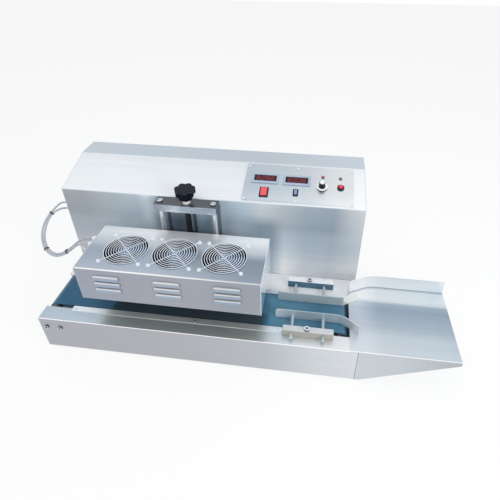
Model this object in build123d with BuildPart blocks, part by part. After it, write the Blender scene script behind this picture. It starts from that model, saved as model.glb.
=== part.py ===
"""Tabletop induction cap sealer with a belt conveyor: a lifting coil head with three fans
over a blue belt, a sloped control cabinet behind it, and an infeed tray on the right.

Units are millimetres. The origin is under the middle of the machine, on the surface it stands on.
+X runs along the belt to the infeed tray, +Y to the back of the machine, +Z up.
Dimensions below are measured from the base: x from its left end, y from its front face,
z from its underside, which the rubber feet hold clear of the table.
"""
import os
from math import atan2, cos, degrees, radians, sin, tan

from build123d import *

os.makedirs("parts", exist_ok=True)

# ---- where the base stands in the machine's frame --------------------------------------
base_left = -542.0
base_front = -237.8
foot_height = 12.0

# ---- base and conveyor -----------------------------------------------------------------
base_length = 861.0
base_height = 110.7
machine_depth = 474.6
sheet = 1.5
floor_sheet = 2.0
bend = 2.5
flange_depth = 46.0
rear_wall_y = 173.5

belt_front, belt_back = 56.0, 169.0
belt_top = 110.0
belt_thick = 2.0
belt_inner_radius = 19.0
roller_radius = 18.7
roller_z = belt_top - belt_thick - belt_inner_radius
drive_x, idler_x = 21.0, 815.0
roller_front, roller_back = 54.0, 171.0
drive_shaft_radius = 7.5
idler_shaft_radius = 6.0
running_gap = 0.05

strip_left, strip_right = 78.0, 662.0
front_strip = (36.0, 53.0)
rear_strip = (169.5, 184.6)
strip_screw_y = (42.0, 177.0)

motor_x, motor_z = 150.0, 48.0
motor_front = 240.0
pulley_front, pulley_back = 208.0, 224.0
roller_pulley_radius, motor_pulley_radius = 15.0, 10.0
motor_shaft_radius = 6.0

# ---- infeed tray -----------------------------------------------------------------------
tray_left, tray_right = 838.0, 1108.0
tray_wall_top = 158.0
tray_wall_y = 230.3

# ---- cabinet ---------------------------------------------------------------------------
cabinet_front = 254.1
slope_foot_z = 366.3
slope_top_y = 400.7
cabinet_top = 410.7
slope_angle = degrees(atan2(cabinet_top - slope_foot_z, slope_top_y - cabinet_front))

# ---- control panel: x along the panel, t up the slope from its lower bend ----------------
panel_left, panel_right = 522.0, 828.0
panel_low, panel_high = 7.5, 145.7
panel_opening_low, panel_opening_high = 16.0, 128.0
panel_thick = 2.0
meter_centres = ((579.7, 90.0), (669.0, 89.0))
meter_size = (78.6, 37.0)
window_size = (64.0, 22.5)
power_centre, power_size = (581.2, 38.8), (25.0, 34.0)
mode_centre, mode_size = (669.0, 44.0), (15.0, 23.0)
dial_centre, dial_radius, dial_thick = (740.5, 71.0), 15.5, 3.0
knob_skirt_low, knob_body_low, knob_cap_low = 3.3, 6.3, 20.0
button_centre, button_radius = (792.4, 72.5), 9.75
button_base_high, button_high, button_deep = 4.5, 7.5, 5.0
lamp_ring_radius, lens_radius = 4.8, 3.4
lamp_centres = ((742.0, 108.5), (791.3, 107.0))
rocker_tilt = 8.0

# ---- lift column -----------------------------------------------------------------------
column_left, column_right = 286.4, 462.0
column_front = 213.0
column_y = 233.5
top_plate_low, top_plate_high = 344.0, 364.4
foot_plate_thick = 12.0
rod_x = (300.0, 450.5)
rod_radius = 7.0
screw_x = 375.2
screw_radius = 8.0
journal_radius = 6.0
knob_radius, lobe_radius, knob_top = 28.5, 9.6, 411.0
knob_waist_radius, neck_radius = 20.5, 14.0
knob_lobe_z, knob_waist_z, knob_foot_z = 395.0, 380.8, 376.4
carriage_low, carriage_high = 215.0, 250.0

# ---- sealing head ----------------------------------------------------------------------
head_left, head_right = 140.0, 611.3
head_front, head_back = 21.3, 198.0
head_low, head_high = 187.3, 292.15
coil_plate_thick = 4.0
fan_x = (244.1, 374.7, 505.2)
fan_y = 104.2
fan_pitch = 104.8
fan_size = 119.0
fan_height = 38.0
fan_bore_radius = 57.0
rotor_radius = 54.0
hub_radius = 22.5
guard_wire = 0.8
guard_rings = 9
louver_x = (219.5, 376.0, 527.5)
louver_z = (223.5, 244.5, 265.5)
louver_length, louver_height, louver_depth = 71.0, 16.0, 5.0
louver_rounding = 3.5

# ---- bottle guides ---------------------------------------------------------------------
block_left, block_right = 663.5, 795.0
block_high = 132.7
front_block = (27.5, 46.5)
rear_block = (205.0, 224.0)
guide_rod_x = (687.0, 768.0)
guide_rod_z = 121.7
guide_rod_radius = 4.0
rail_low, rail_high = 112.5, 142.5
rail_thick = 2.5
front_rail_y, rear_rail_y = 87.5, 150.0
rail_left = 640.0
clamp_screw_x = 726.0

# ---- cables from the cabinet to the head -------------------------------------------------
cable_radius = 3.0
gland_length = 24.0
cabinet_gland_y = 303.0
cabinet_gland_z = (285.0, 263.0)
head_gland_y = (139.0, 163.0)
head_gland_z = 270.0


# ======================================================================================
# Workplanes and repeated forms
# ======================================================================================
def level(z):
    """Horizontal sketch plane at height z; the sketch's axes are the machine's x and y."""
    return Plane((base_left, base_front, foot_height + z))


def facing(y):
    """Upright sketch plane at depth y, seen from the front; axes x and z, extruding forwards."""
    return Plane((base_left, base_front + y, foot_height), x_dir=(1, 0, 0), z_dir=(0, -1, 0))


def across(x):
    """Upright sketch plane at x, seen from the right; axes y and z, extruding to the right."""
    return Plane((base_left + x, base_front, foot_height), x_dir=(0, 1, 0), z_dir=(1, 0, 0))


def leftward(x):
    """Upright sketch plane at x, extruding to the left; axes -y and z."""
    return Plane((base_left + x, base_front, foot_height), x_dir=(0, -1, 0), z_dir=(-1, 0, 0))


def rearward(y):
    """Upright sketch plane at depth y, extruding to the back; axes -x and z."""
    return Plane((base_left, base_front + y, foot_height), x_dir=(-1, 0, 0), z_dir=(0, 1, 0))


def on_slope(height=0.0):
    """Plane on the cabinet's slope; axes x and t, raised by height along the slope's normal."""
    angle = radians(slope_angle)
    return Plane(
        (
            base_left,
            base_front + cabinet_front - height * sin(angle),
            foot_height + slope_foot_z + height * cos(angle),
        ),
        x_dir=(1, 0, 0),
        z_dir=(0, -sin(angle), cos(angle)),
    )


def save(part, label):
    """Label the finished piece and write its STEP file."""
    part.label = label
    export_step(part, f"parts/{label}.step")


def block(x, y, z, mode=Mode.ADD):
    """A rectangular block, or pocket, between pairs of x, y and z limits."""
    with BuildSketch(level(z[0])) as outline:
        with Locations(((x[0] + x[1]) / 2, (y[0] + y[1]) / 2)):
            Rectangle(x[1] - x[0], y[1] - y[0])
    extrude(outline.sketch, amount=z[1] - z[0], mode=mode)


def upright(centres, radius, z, mode=Mode.ADD):
    """Upright round rods or holes at x, y centres between two heights."""
    with BuildSketch(level(z[0])) as outline:
        with Locations(*centres):
            Circle(radius)
    extrude(outline.sketch, amount=z[1] - z[0], mode=mode)


def lengthwise(centres, radius, y, mode=Mode.ADD):
    """Level round rods or holes along the machine's depth at x, z centres."""
    with BuildSketch(facing(y[1])) as outline:
        with Locations(*centres):
            Circle(radius)
    extrude(outline.sketch, amount=y[1] - y[0], mode=mode)


def sideways(centres, radius, x, mode=Mode.ADD):
    """Level round rods or holes along the machine's length at y, z centres."""
    with BuildSketch(across(x[0])) as outline:
        with Locations(*centres):
            Circle(radius)
    extrude(outline.sketch, amount=x[1] - x[0], mode=mode)


def folded_sheet(plane, points, length, thick=sheet):
    """Extrude a folded sheet whose outer line runs through the points, thickened to its left."""
    with BuildSketch(plane) as outline:
        with BuildLine():
            FilletPolyline(*points, radius=bend)
            offset(amount=thick, side=Side.LEFT)
        make_face()
    extrude(outline.sketch, amount=length)


def on_plane(plane, centres, shape, depth, mode=Mode.ADD):
    """Extrude a shape, given as a function that draws it, at each centre of a plane."""
    with BuildSketch(plane) as outline:
        with Locations(*centres):
            shape()
    extrude(outline.sketch, amount=depth, mode=mode)


def cap_screws(plane, centres, radius, height, shank, length):
    """Button-headed screws seated on a plane, with a hexagon recess and a plain shank."""
    on_plane(plane, centres, lambda: Circle(radius), height)
    on_plane(plane.offset(height), centres, lambda: RegularPolygon(radius * 0.5, 6), -height * 0.5,
             Mode.SUBTRACT)
    on_plane(plane, centres, lambda: Circle(shank), -length)


# ======================================================================================
# Base
# ======================================================================================
foot_centres = [(x, y) for x in (60.0, 800.0) for y in (28.0, 445.0)]
side_bolt_centres = [(17.0, 79.0), (56.0, 79.0)]

with BuildPart() as base_plate:
    block((sheet, base_length - sheet), (sheet, machine_depth - sheet), (0, floor_sheet))
    upright(foot_centres, 3.0, (0, floor_sheet), Mode.SUBTRACT)
save(base_plate.part, "base_plate")

with BuildPart() as front_channel:
    folded_sheet(
        across(sheet),
        [
            (flange_depth, floor_sheet),
            (flange_depth, base_height),
            (0, base_height),
            (0, 0),
        ],
        base_length - 2 * sheet,
    )
    lengthwise(side_bolt_centres, 3.0, (0, sheet), Mode.SUBTRACT)
    lengthwise([(drive_x, roller_z)], 9.0, (flange_depth - sheet, flange_depth), Mode.SUBTRACT)
    lengthwise([(idler_x, roller_z)], idler_shaft_radius, (flange_depth - sheet, flange_depth),
               Mode.SUBTRACT)
save(front_channel.part, "front_channel")

with BuildPart() as rear_deck:
    folded_sheet(
        across(sheet),
        [
            (cabinet_front, 90.0),
            (cabinet_front, base_height),
            (rear_wall_y, base_height),
            (rear_wall_y, floor_sheet),
        ],
        base_length - 2 * sheet,
    )
    lengthwise([(drive_x, roller_z)], 9.0, (rear_wall_y, rear_wall_y + sheet), Mode.SUBTRACT)
    lengthwise([(idler_x, roller_z)], idler_shaft_radius, (rear_wall_y, rear_wall_y + sheet),
               Mode.SUBTRACT)
save(rear_deck.part, "rear_deck")

side_outline = [
    (0, 0),
    (machine_depth, 0),
    (machine_depth, cabinet_top),
    (slope_top_y, cabinet_top),
    (cabinet_front, slope_foot_z),
    (cabinet_front, base_height),
    (0, base_height),
]
with BuildPart() as side_panels:
    for x in (0, base_length - sheet):
        with BuildSketch(across(x)):
            with BuildLine():
                Polyline(*side_outline, close=True)
            make_face()
        extrude(amount=sheet)
    block((0, sheet), (flange_depth, rear_wall_y), (60.0, base_height), Mode.SUBTRACT)
    sideways([(cabinet_gland_y, z) for z in cabinet_gland_z], 8.0, (0, sheet), Mode.SUBTRACT)
save(side_panels.part, "side_panels")

with BuildPart() as rubber_feet:
    with BuildSketch(level(0)):
        with Locations(*foot_centres):
            Circle(16.0)
    extrude(amount=-foot_height, taper=12.0)
    upright(foot_centres, 3.0, (0, 8.0))
save(rubber_feet.part, "rubber_feet")

# ======================================================================================
# Conveyor
# ======================================================================================
bed_left, bed_right = drive_x + 22.0, idler_x - 22.0

with BuildPart() as belt_bed:
    folded_sheet(
        across(bed_left),
        [
            (rear_wall_y, belt_top - belt_thick - 25.0),
            (rear_wall_y, belt_top - belt_thick),
            (flange_depth, belt_top - belt_thick),
            (flange_depth, belt_top - belt_thick - 25.0),
        ],
        bed_right - bed_left,
    )
save(belt_bed.part, "belt_bed")


def belt_loop(radius, mode=Mode.ADD):
    """Side outline of a belt at a given radius round the two rollers."""
    with Locations(((drive_x + idler_x) / 2, roller_z)):
        SlotCenterToCenter(idler_x - drive_x, 2 * radius, mode=mode)


with BuildPart() as conveyor_belt:
    with BuildSketch(facing(belt_back)):
        belt_loop(belt_inner_radius + belt_thick)
        belt_loop(belt_inner_radius, Mode.SUBTRACT)
    extrude(amount=belt_back - belt_front)
save(conveyor_belt.part, "conveyor_belt")

with BuildPart() as drive_roller:
    lengthwise([(drive_x, roller_z)], roller_radius, (roller_front, roller_back))
    lengthwise([(drive_x, roller_z)], drive_shaft_radius, (5.0, pulley_back + 4.0))
save(drive_roller.part, "drive_roller")

with BuildPart() as idler_roller:
    lengthwise([(idler_x, roller_z)], roller_radius, (roller_front, roller_back))
    lengthwise([(idler_x, roller_z)], roller_radius - 2.5, (roller_front + 8, roller_back - 8),
               Mode.SUBTRACT)
    lengthwise([(idler_x, roller_z)], idler_shaft_radius + running_gap,
               (roller_front, roller_back), Mode.SUBTRACT)
save(idler_roller.part, "idler_roller")

with BuildPart() as idler_shaft:
    lengthwise([(idler_x, roller_z)], idler_shaft_radius, (36.0, 184.0))
    for y in (flange_depth - sheet - 6.0, rear_wall_y + sheet):
        with BuildSketch(facing(y + 6.0)):
            with Locations((idler_x, roller_z)):
                RegularPolygon(11.0, 6)
        extrude(amount=6.0)
save(idler_shaft.part, "idler_shaft")

with BuildPart() as shaft_bearings:
    block((drive_x - 13, drive_x + 43), (sheet, flange_depth - sheet), (68.0, 106.0))
    block((drive_x - 17, drive_x + 17), (rear_wall_y + sheet, rear_wall_y + 16), (70.0, 106.0))
    lengthwise([(drive_x, roller_z)], drive_shaft_radius + running_gap,
               (sheet, rear_wall_y + 16), Mode.SUBTRACT)
    lengthwise(side_bolt_centres, 3.0, (sheet, 22.0), Mode.SUBTRACT)
save(shaft_bearings.part, "shaft_bearings")

strip_screw_centres = [(x, y) for x in (82.0, 90.0, 640.0) for y in strip_screw_y] + [(428.0, 43.0)]

with BuildPart() as belt_guide_strips:
    for y in (front_strip, rear_strip):
        block((strip_left, strip_right), y, (base_height, base_height + sheet))
    fillet(belt_guide_strips.edges().filter_by(Axis.Z), radius=2.0)
    upright(strip_screw_centres, 1.5, (base_height, base_height + sheet), Mode.SUBTRACT)
save(belt_guide_strips.part, "belt_guide_strips")

# ---- belt drive ------------------------------------------------------------------------
pulley_flange = 2.0
drive_belt_gap, drive_belt_thick = 0.4, 2.5
pulley_rims = ((pulley_front, pulley_front + 1.5), (pulley_back - 1.5, pulley_back))

with BuildPart() as roller_pulley:
    lengthwise([(drive_x, roller_z)], roller_pulley_radius, (pulley_front, pulley_back))
    for rim in pulley_rims:
        lengthwise([(drive_x, roller_z)], roller_pulley_radius + pulley_flange, rim)
    lengthwise([(drive_x, roller_z)], drive_shaft_radius, (pulley_front, pulley_back),
               Mode.SUBTRACT)
save(roller_pulley.part, "roller_pulley")

with BuildPart() as motor_pulley:
    lengthwise([(motor_x, motor_z)], motor_pulley_radius, (pulley_front, pulley_back))
    for rim in pulley_rims:
        lengthwise([(motor_x, motor_z)], motor_pulley_radius + pulley_flange, rim)
    lengthwise([(motor_x, motor_z)], motor_shaft_radius, (pulley_front, motor_front + 30.0))
save(motor_pulley.part, "motor_pulley")


def drive_belt_loop(extra, mode=Mode.ADD):
    """The band inside a hull of two circles, each standing off its pulley by the given distance."""
    with BuildSketch(facing(pulley_back - 3.0)) as outline:
        with Locations((drive_x, roller_z)):
            Circle(roller_pulley_radius + extra)
        with Locations((motor_x, motor_z)):
            Circle(motor_pulley_radius + extra)
        make_hull()
    extrude(outline.sketch, amount=pulley_back - pulley_front - 6.0, mode=mode)


with BuildPart() as timing_belt:
    drive_belt_loop(drive_belt_gap + drive_belt_thick)
    drive_belt_loop(drive_belt_gap, Mode.SUBTRACT)
save(timing_belt.part, "timing_belt")

with BuildPart() as gear_motor:
    block((motor_x - 40, motor_x + 40), (motor_front, motor_front + 45), (motor_z - 40, motor_z + 40))
    fillet(gear_motor.edges().filter_by(Axis.Y), radius=5.0)
    lengthwise([(motor_x, motor_z)], 38.0, (motor_front + 45, motor_front + 150))
    lengthwise([(motor_x, motor_z)], 41.0, (motor_front + 150, motor_front + 158))
    lengthwise([(motor_x, motor_z)], motor_shaft_radius + running_gap,
               (motor_front, motor_front + 30.0), Mode.SUBTRACT)
save(gear_motor.part, "gear_motor")

with BuildPart() as motor_bracket:
    block((motor_x - 50, motor_x + 50), (motor_front - 3, motor_front), (floor_sheet, 104.0))
    block((motor_x - 50, motor_x + 50), (motor_front - 45, motor_front - 3),
          (floor_sheet, floor_sheet + 3))
    lengthwise([(motor_x, motor_z)], 12.0, (motor_front - 3, motor_front), Mode.SUBTRACT)
save(motor_bracket.part, "motor_bracket")

# ======================================================================================
# Infeed tray
# ======================================================================================
tray_floor_high = base_height + sheet
skirt_end_z = 100.7

with BuildPart() as infeed_tray:
    with BuildSketch(level(base_height)):
        with BuildLine():
            Polyline(
                (tray_left, 0),
                (tray_right, 0),
                (tray_right, tray_wall_y + sheet),
                (918.0, tray_wall_y + sheet),
                (880.0, 222.0),
                (tray_left + 2, 201.0),
                (tray_left, 186.0),
                close=True,
            )
        make_face()
    extrude(amount=sheet)
    with BuildSketch(level(base_height)):
        with BuildLine():
            FilletPolyline(
                (tray_left - 1, 186.0),
                (tray_left + 2.5, 200.0),
                (898.0, tray_wall_y),
                (tray_right - 22.0, tray_wall_y),
                radius=(3.0, 90.0),
            )
            offset(amount=sheet, side=Side.LEFT)
        make_face()
    extrude(amount=tray_wall_top - base_height)
    with BuildSketch(facing(tray_wall_y + sheet)):
        with BuildLine():
            Polyline(
                (tray_right - 22.5, tray_wall_top),
                (tray_right - 22.5, base_height),
                (tray_right - 1.0, base_height),
                (tray_right - 3.5, tray_wall_top),
                close=True,
            )
        make_face()
    extrude(amount=sheet)
    with BuildSketch(facing(sheet)):
        with BuildLine():
            Polyline(
                (base_length, 0),
                (base_length + 9, 0),
                (tray_right, skirt_end_z),
                (tray_right, tray_floor_high),
                (base_length, tray_floor_high),
                close=True,
            )
        make_face()
    extrude(amount=sheet)
    fillet(infeed_tray.edges().filter_by(Axis.X).sort_by(Axis.Z)[-1], radius=0.6)
save(infeed_tray.part, "infeed_tray")

# ======================================================================================
# Cabinet
# ======================================================================================
rear_flange_z = cabinet_top - 17.0
inlet_x, inlet_z = 90.0, 150.0
cabinet_screw_centre = (13.0, 147.0)
rear_screw_centres = [(x, z) for x in (20.0, 430.0, 841.0) for z in (12.0, 385.0)]
inlet_screw_centres = [(inlet_x - 20.0, inlet_z), (inlet_x + 20.0, inlet_z)]

with BuildPart() as cabinet_shell:
    folded_sheet(
        across(sheet),
        [
            (machine_depth, rear_flange_z),
            (machine_depth, cabinet_top),
            (slope_top_y, cabinet_top),
            (cabinet_front, slope_foot_z),
            (cabinet_front, 90.0),
        ],
        base_length - 2 * sheet,
    )
    with BuildSketch(on_slope(-5.0)):
        with Locations(((panel_left + panel_right) / 2, (panel_opening_low + panel_opening_high) / 2)):
            Rectangle(panel_right - panel_left - 24, panel_opening_high - panel_opening_low)
    extrude(amount=10.0, mode=Mode.SUBTRACT)
    lengthwise([cabinet_screw_centre], 2.0, (cabinet_front, cabinet_front + sheet), Mode.SUBTRACT)
save(cabinet_shell.part, "cabinet_shell")

with BuildPart() as rear_cover:
    block((sheet, base_length - sheet), (machine_depth - sheet, machine_depth), (0, rear_flange_z))
    with BuildSketch(facing(machine_depth)):
        for x in (300.0, 560.0):
            with Locations((x, 120.0)):
                with GridLocations(0, 14.0, 1, 9):
                    SlotOverall(110.0, 5.0)
        with Locations((inlet_x, inlet_z)):
            Rectangle(28.0, 20.0)
    extrude(amount=sheet, mode=Mode.SUBTRACT)
    lengthwise(rear_screw_centres + inlet_screw_centres, 2.0,
               (machine_depth - sheet, machine_depth), Mode.SUBTRACT)
save(rear_cover.part, "rear_cover")

with BuildPart() as mains_inlet:
    block((inlet_x - 25, inlet_x + 25), (machine_depth, machine_depth + 3.0),
          (inlet_z - 12.5, inlet_z + 12.5))
    fillet(mains_inlet.edges().filter_by(Axis.Y), radius=4.0)
    block((inlet_x - 14, inlet_x + 14), (machine_depth - 26, machine_depth),
          (inlet_z - 10, inlet_z + 10))
    block((inlet_x - 11, inlet_x + 11), (machine_depth - 16, machine_depth + 3.0),
          (inlet_z - 7, inlet_z + 7), Mode.SUBTRACT)
    for dx, dz in ((-6.5, -1.5), (0, 2.5), (6.5, -1.5)):
        block((inlet_x + dx - 1, inlet_x + dx + 1), (machine_depth - 17, machine_depth - 1),
              (inlet_z + dz - 2.5, inlet_z + dz + 2.5))
    lengthwise(inlet_screw_centres, 2.0, (machine_depth, machine_depth + 3.0), Mode.SUBTRACT)
save(mains_inlet.part, "mains_inlet")

with BuildPart() as power_module:
    block((360.0, 560.0), (300.0, 420.0), (floor_sheet, 14.0))
    for step in range(13):
        block((364.0 + 16 * step, 367.0 + 16 * step), (300.0, 420.0), (14.0, 60.0))
save(power_module.part, "power_module")


def cable_gland(plane, centres, reach):
    """Nylon cable glands: a hexagon body against the plane, a domed nut, a tail through the wall."""
    on_plane(plane, centres, lambda: RegularPolygon(9.5, 6), 6.0)
    on_plane(plane.offset(6.0), centres, lambda: RegularPolygon(8.5, 6), 9.0)
    with BuildSketch(plane.offset(15.0)) as dome:
        with Locations(*centres):
            Circle(7.4)
    extrude(dome.sketch, amount=gland_length - 15.0, taper=20.0)
    on_plane(plane, centres, lambda: Circle(7.8), -reach)
    on_plane(plane.offset(gland_length), centres, lambda: Circle(cable_radius - 1.0),
             -gland_length - reach, Mode.SUBTRACT)


with BuildPart() as cabinet_glands:
    cable_gland(leftward(0), [(-cabinet_gland_y, z) for z in cabinet_gland_z], 8.0)
save(cabinet_glands.part, "cabinet_glands")

# ---- control panel ---------------------------------------------------------------------
panel_screw_centres = [
    (x, t) for x in (528.4, 670.5, 822.2) for t in (11.2, 134.7)
]
bezel_height, window_recess, window_thick = 3.0, 2.0, 1.4
switch_height = 2.5
switch_depth = 20.0
rocker_pivot_height = 1.0
rocker_border, rocker_gap = 3.4, 0.4

with BuildPart() as control_panel:
    with BuildSketch(on_slope()):
        with Locations(((panel_left + panel_right) / 2, (panel_low + panel_high) / 2)):
            RectangleRounded(panel_right - panel_left, panel_high - panel_low, 2.0)
        with Locations(*panel_screw_centres):
            Circle(2.0, mode=Mode.SUBTRACT)
        with Locations(*meter_centres):
            Rectangle(meter_size[0] - 6, meter_size[1] - 4, mode=Mode.SUBTRACT)
        with Locations(power_centre):
            Rectangle(power_size[0] - 2, power_size[1] - 2, mode=Mode.SUBTRACT)
        with Locations(mode_centre):
            Rectangle(mode_size[0] - 2, mode_size[1] - 2, mode=Mode.SUBTRACT)
        with Locations(dial_centre, button_centre, *lamp_centres):
            Circle(3.5, mode=Mode.SUBTRACT)
    extrude(amount=panel_thick)
save(control_panel.part, "control_panel")

panel_face = on_slope(panel_thick)

with BuildPart() as meter_bezels:
    on_plane(panel_face, meter_centres, lambda: RectangleRounded(*meter_size, 2.0), bezel_height)
    chamfer(meter_bezels.faces().sort_by(Axis(panel_face.origin, panel_face.z_dir))[-1].edges()
            + meter_bezels.faces().sort_by(Axis(panel_face.origin, panel_face.z_dir))[-2].edges(),
            length=0.8)
    on_plane(panel_face, meter_centres, lambda: Rectangle(meter_size[0] - 6, meter_size[1] - 4),
             -45.0)
    on_plane(panel_face.offset(bezel_height), meter_centres, lambda: Rectangle(*window_size),
             -window_recess, Mode.SUBTRACT)
save(meter_bezels.part, "meter_bezels")

with BuildPart() as meter_windows:
    on_plane(panel_face.offset(bezel_height - window_recess), meter_centres,
             lambda: Rectangle(*window_size), window_thick)
save(meter_windows.part, "meter_windows")


def rocker_frame(centre, size):
    """A snap-in switch housing: thin flange on the panel, box below, and the rocker's pocket."""
    on_plane(panel_face, [centre], lambda: RectangleRounded(*size, 1.5), switch_height)
    on_plane(panel_face, [centre], lambda: Rectangle(size[0] - 2, size[1] - 2), -switch_depth)
    on_plane(panel_face.offset(switch_height), [centre],
             lambda: Rectangle(size[0] - 2 * rocker_border, size[1] - 2 * rocker_border), -16.0,
             Mode.SUBTRACT)


with BuildPart() as panel_bezels:
    rocker_frame(power_centre, power_size)
    rocker_frame(mode_centre, mode_size)
    on_plane(panel_face, [button_centre], lambda: Circle(button_radius), button_base_high)
    chamfer(panel_bezels.edges().filter_by(GeomType.CIRCLE)
            .sort_by(Axis(panel_face.origin, panel_face.z_dir))[-1], length=1.0)
    on_plane(panel_face.offset(button_base_high), [button_centre], lambda: Circle(6.4),
             -button_base_high, Mode.SUBTRACT)
    on_plane(panel_face, [button_centre], lambda: Circle(3.5), -panel_thick)
    on_plane(panel_face, lamp_centres, lambda: Circle(lamp_ring_radius), 2.0)
    on_plane(panel_face.offset(2.0), lamp_centres, lambda: Circle(lens_radius + 0.1), -2.0,
             Mode.SUBTRACT)
save(panel_bezels.part, "panel_bezels")

with BuildPart() as indicator_lamps:
    on_plane(panel_face.offset(3.6), lamp_centres, lambda: Circle(lens_radius), -15.6)
    fillet(indicator_lamps.edges().filter_by(GeomType.CIRCLE)
           .sort_by(Axis(panel_face.origin, panel_face.z_dir))[-2:], radius=1.8)
save(indicator_lamps.part, "indicator_lamps")


def rocker(centre, size):
    """A rocker held at its tilt: two faces meeting in a shallow valley on a round-ended body."""
    pivot = panel_face.offset(rocker_pivot_height)
    side_plane = Plane(
        pivot.from_local_coords(
            Vector(centre[0] - size[0] / 2 + rocker_border + rocker_gap, centre[1], 0)),
        x_dir=pivot.y_dir,
        z_dir=pivot.x_dir,
    )
    with BuildSketch(side_plane) as side:
        Circle(size[1] / 2 - rocker_border - rocker_gap)
        Polygon((-20, 4.2), (0, 2.6), (20, 4.2), (20, -7), (-20, -7), rotation=rocker_tilt,
                align=None, mode=Mode.INTERSECT)
    extrude(side.sketch, amount=size[0] - 2 * (rocker_border + rocker_gap))


with BuildPart() as power_rocker:
    rocker(power_centre, power_size)
save(power_rocker.part, "power_rocker")

with BuildPart() as mode_rocker:
    rocker(mode_centre, mode_size)
save(mode_rocker.part, "mode_rocker")

with BuildPart() as speed_dial:
    on_plane(panel_face, [dial_centre], lambda: Circle(dial_radius), dial_thick)
    on_plane(panel_face, [dial_centre], lambda: Circle(3.5), dial_thick, Mode.SUBTRACT)
save(speed_dial.part, "speed_dial")

with BuildPart() as speed_knob:
    on_plane(panel_face.offset(knob_skirt_low), [dial_centre], lambda: Circle(9.4),
             knob_body_low - knob_skirt_low)
    on_plane(panel_face.offset(knob_body_low), [dial_centre], lambda: Circle(8.2),
             knob_cap_low - knob_body_low)
    with BuildSketch(panel_face.offset(knob_body_low)):
        with Locations(dial_centre):
            with PolarLocations(8.5, 24):
                Circle(0.7)
    extrude(amount=knob_cap_low - knob_body_low, mode=Mode.SUBTRACT)
    on_plane(panel_face.offset(knob_cap_low), [dial_centre], lambda: Circle(6.8), 1.2)
    on_plane(panel_face.offset(knob_skirt_low), [dial_centre], lambda: Circle(3.0), -18.0)
save(speed_knob.part, "speed_knob")

with BuildPart() as push_button:
    on_plane(panel_face.offset(button_high), [button_centre], lambda: Circle(6.0), -button_deep)
    fillet(push_button.edges().filter_by(GeomType.CIRCLE)
           .sort_by(Axis(panel_face.origin, panel_face.z_dir))[-1], radius=1.2)
save(push_button.part, "push_button")

# ======================================================================================
# Lift column
# ======================================================================================
foot_plate_top = base_height + foot_plate_thick
rod_centres = [(x, column_y) for x in rod_x]
screw_centre = [(screw_x, column_y)]

with BuildPart() as column_plates:
    block((column_left, column_right), (column_front, cabinet_front), (top_plate_low, top_plate_high))
    block((column_left, column_right), (column_front, cabinet_front), (base_height, foot_plate_top))
    fillet(column_plates.edges().filter_by(Axis.Z).group_by(Axis.Y)[0], radius=2.0)
    upright(rod_centres, 4.0, (top_plate_low, top_plate_high), Mode.SUBTRACT)
    upright(screw_centre, journal_radius + running_gap, (base_height, top_plate_high), Mode.SUBTRACT)
save(column_plates.part, "column_plates")

with BuildPart() as guide_columns:
    upright(rod_centres, rod_radius, (foot_plate_top, top_plate_low))
save(guide_columns.part, "guide_columns")

with BuildPart() as lead_screw:
    upright(screw_centre, screw_radius, (foot_plate_top + 0.3, top_plate_low - 0.3))
    upright(screw_centre, journal_radius, (base_height + 0.5, knob_top - 8.0))
save(lead_screw.part, "lead_screw")

with BuildPart() as knob_nut:
    with BuildSketch(level(top_plate_high + 0.3)):
        with Locations((screw_x, column_y)):
            RegularPolygon(11.0, 6)
            Circle(journal_radius, mode=Mode.SUBTRACT)
    extrude(amount=knob_foot_z - top_plate_high - 0.7)
save(knob_nut.part, "knob_nut")


def star(reach, rounding):
    """Seven round lobes on a hub, one lobe pointing almost at the front, the hollows rounded."""
    with BuildSketch(mode=Mode.PRIVATE) as outline:
        Circle(reach - lobe_radius)
        with PolarLocations(reach - lobe_radius, 7, start_angle=-78.0):
            Circle(lobe_radius)
        fillet(outline.vertices(), radius=rounding)
    return outline.sketch


with BuildPart() as star_knob:
    with BuildSketch(level(knob_lobe_z)):
        with Locations(*screw_centre):
            add(star(knob_radius, 3.0))
    extrude(amount=knob_top - knob_lobe_z)
    fillet(star_knob.faces().sort_by(Axis.Z)[-1].edges(), radius=1.5)
    with BuildSketch(level(knob_lobe_z)):
        with Locations(*screw_centre):
            add(star(knob_waist_radius, 2.0))
    extrude(amount=knob_waist_z - knob_lobe_z)
    upright(screw_centre, neck_radius, (knob_foot_z, knob_waist_z))
    upright(screw_centre, journal_radius, (knob_foot_z, knob_top - 8.0), Mode.SUBTRACT)
save(star_knob.part, "star_knob")

# ======================================================================================
# Sealing head
# ======================================================================================
bush_radius, nut_radius, nut_flange_radius = 10.0, 13.0, 17.0
arm_x = (322.0, 420.0)

with BuildPart() as lift_carriage:
    block((280.0, 470.0), (217.0, 250.0), (carriage_low, carriage_high))
    block((270.0, 480.0), (head_back, head_back + 6.0), (200.0, 276.0))
    for x in arm_x:
        block((x, x + 10.0), (head_back + 6.0, 217.0), (carriage_low, carriage_high))
    upright(rod_centres, bush_radius, (carriage_low, carriage_high), Mode.SUBTRACT)
    upright(screw_centre, nut_radius, (carriage_low, carriage_high), Mode.SUBTRACT)
save(lift_carriage.part, "lift_carriage")

with BuildPart() as bronze_bushes:
    upright(rod_centres, bush_radius, (carriage_low, carriage_high))
    upright(rod_centres, rod_radius + running_gap, (carriage_low, carriage_high), Mode.SUBTRACT)
    upright(screw_centre, nut_radius, (carriage_low, carriage_high))
    upright(screw_centre, nut_flange_radius - 1.0, (carriage_high, carriage_high + 6.0))
    upright(screw_centre, screw_radius + running_gap, (carriage_low, carriage_high + 6.0),
            Mode.SUBTRACT)
save(bronze_bushes.part, "bronze_bushes")

fan_centres = [(x, fan_y) for x in fan_x]
fan_screw_centres = [
    (x + dx * fan_pitch / 2, fan_y + dy * fan_pitch / 2)
    for x in fan_x for dx in (-1, 1) for dy in (-1, 1)
]
skin_low = head_high - sheet

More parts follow.
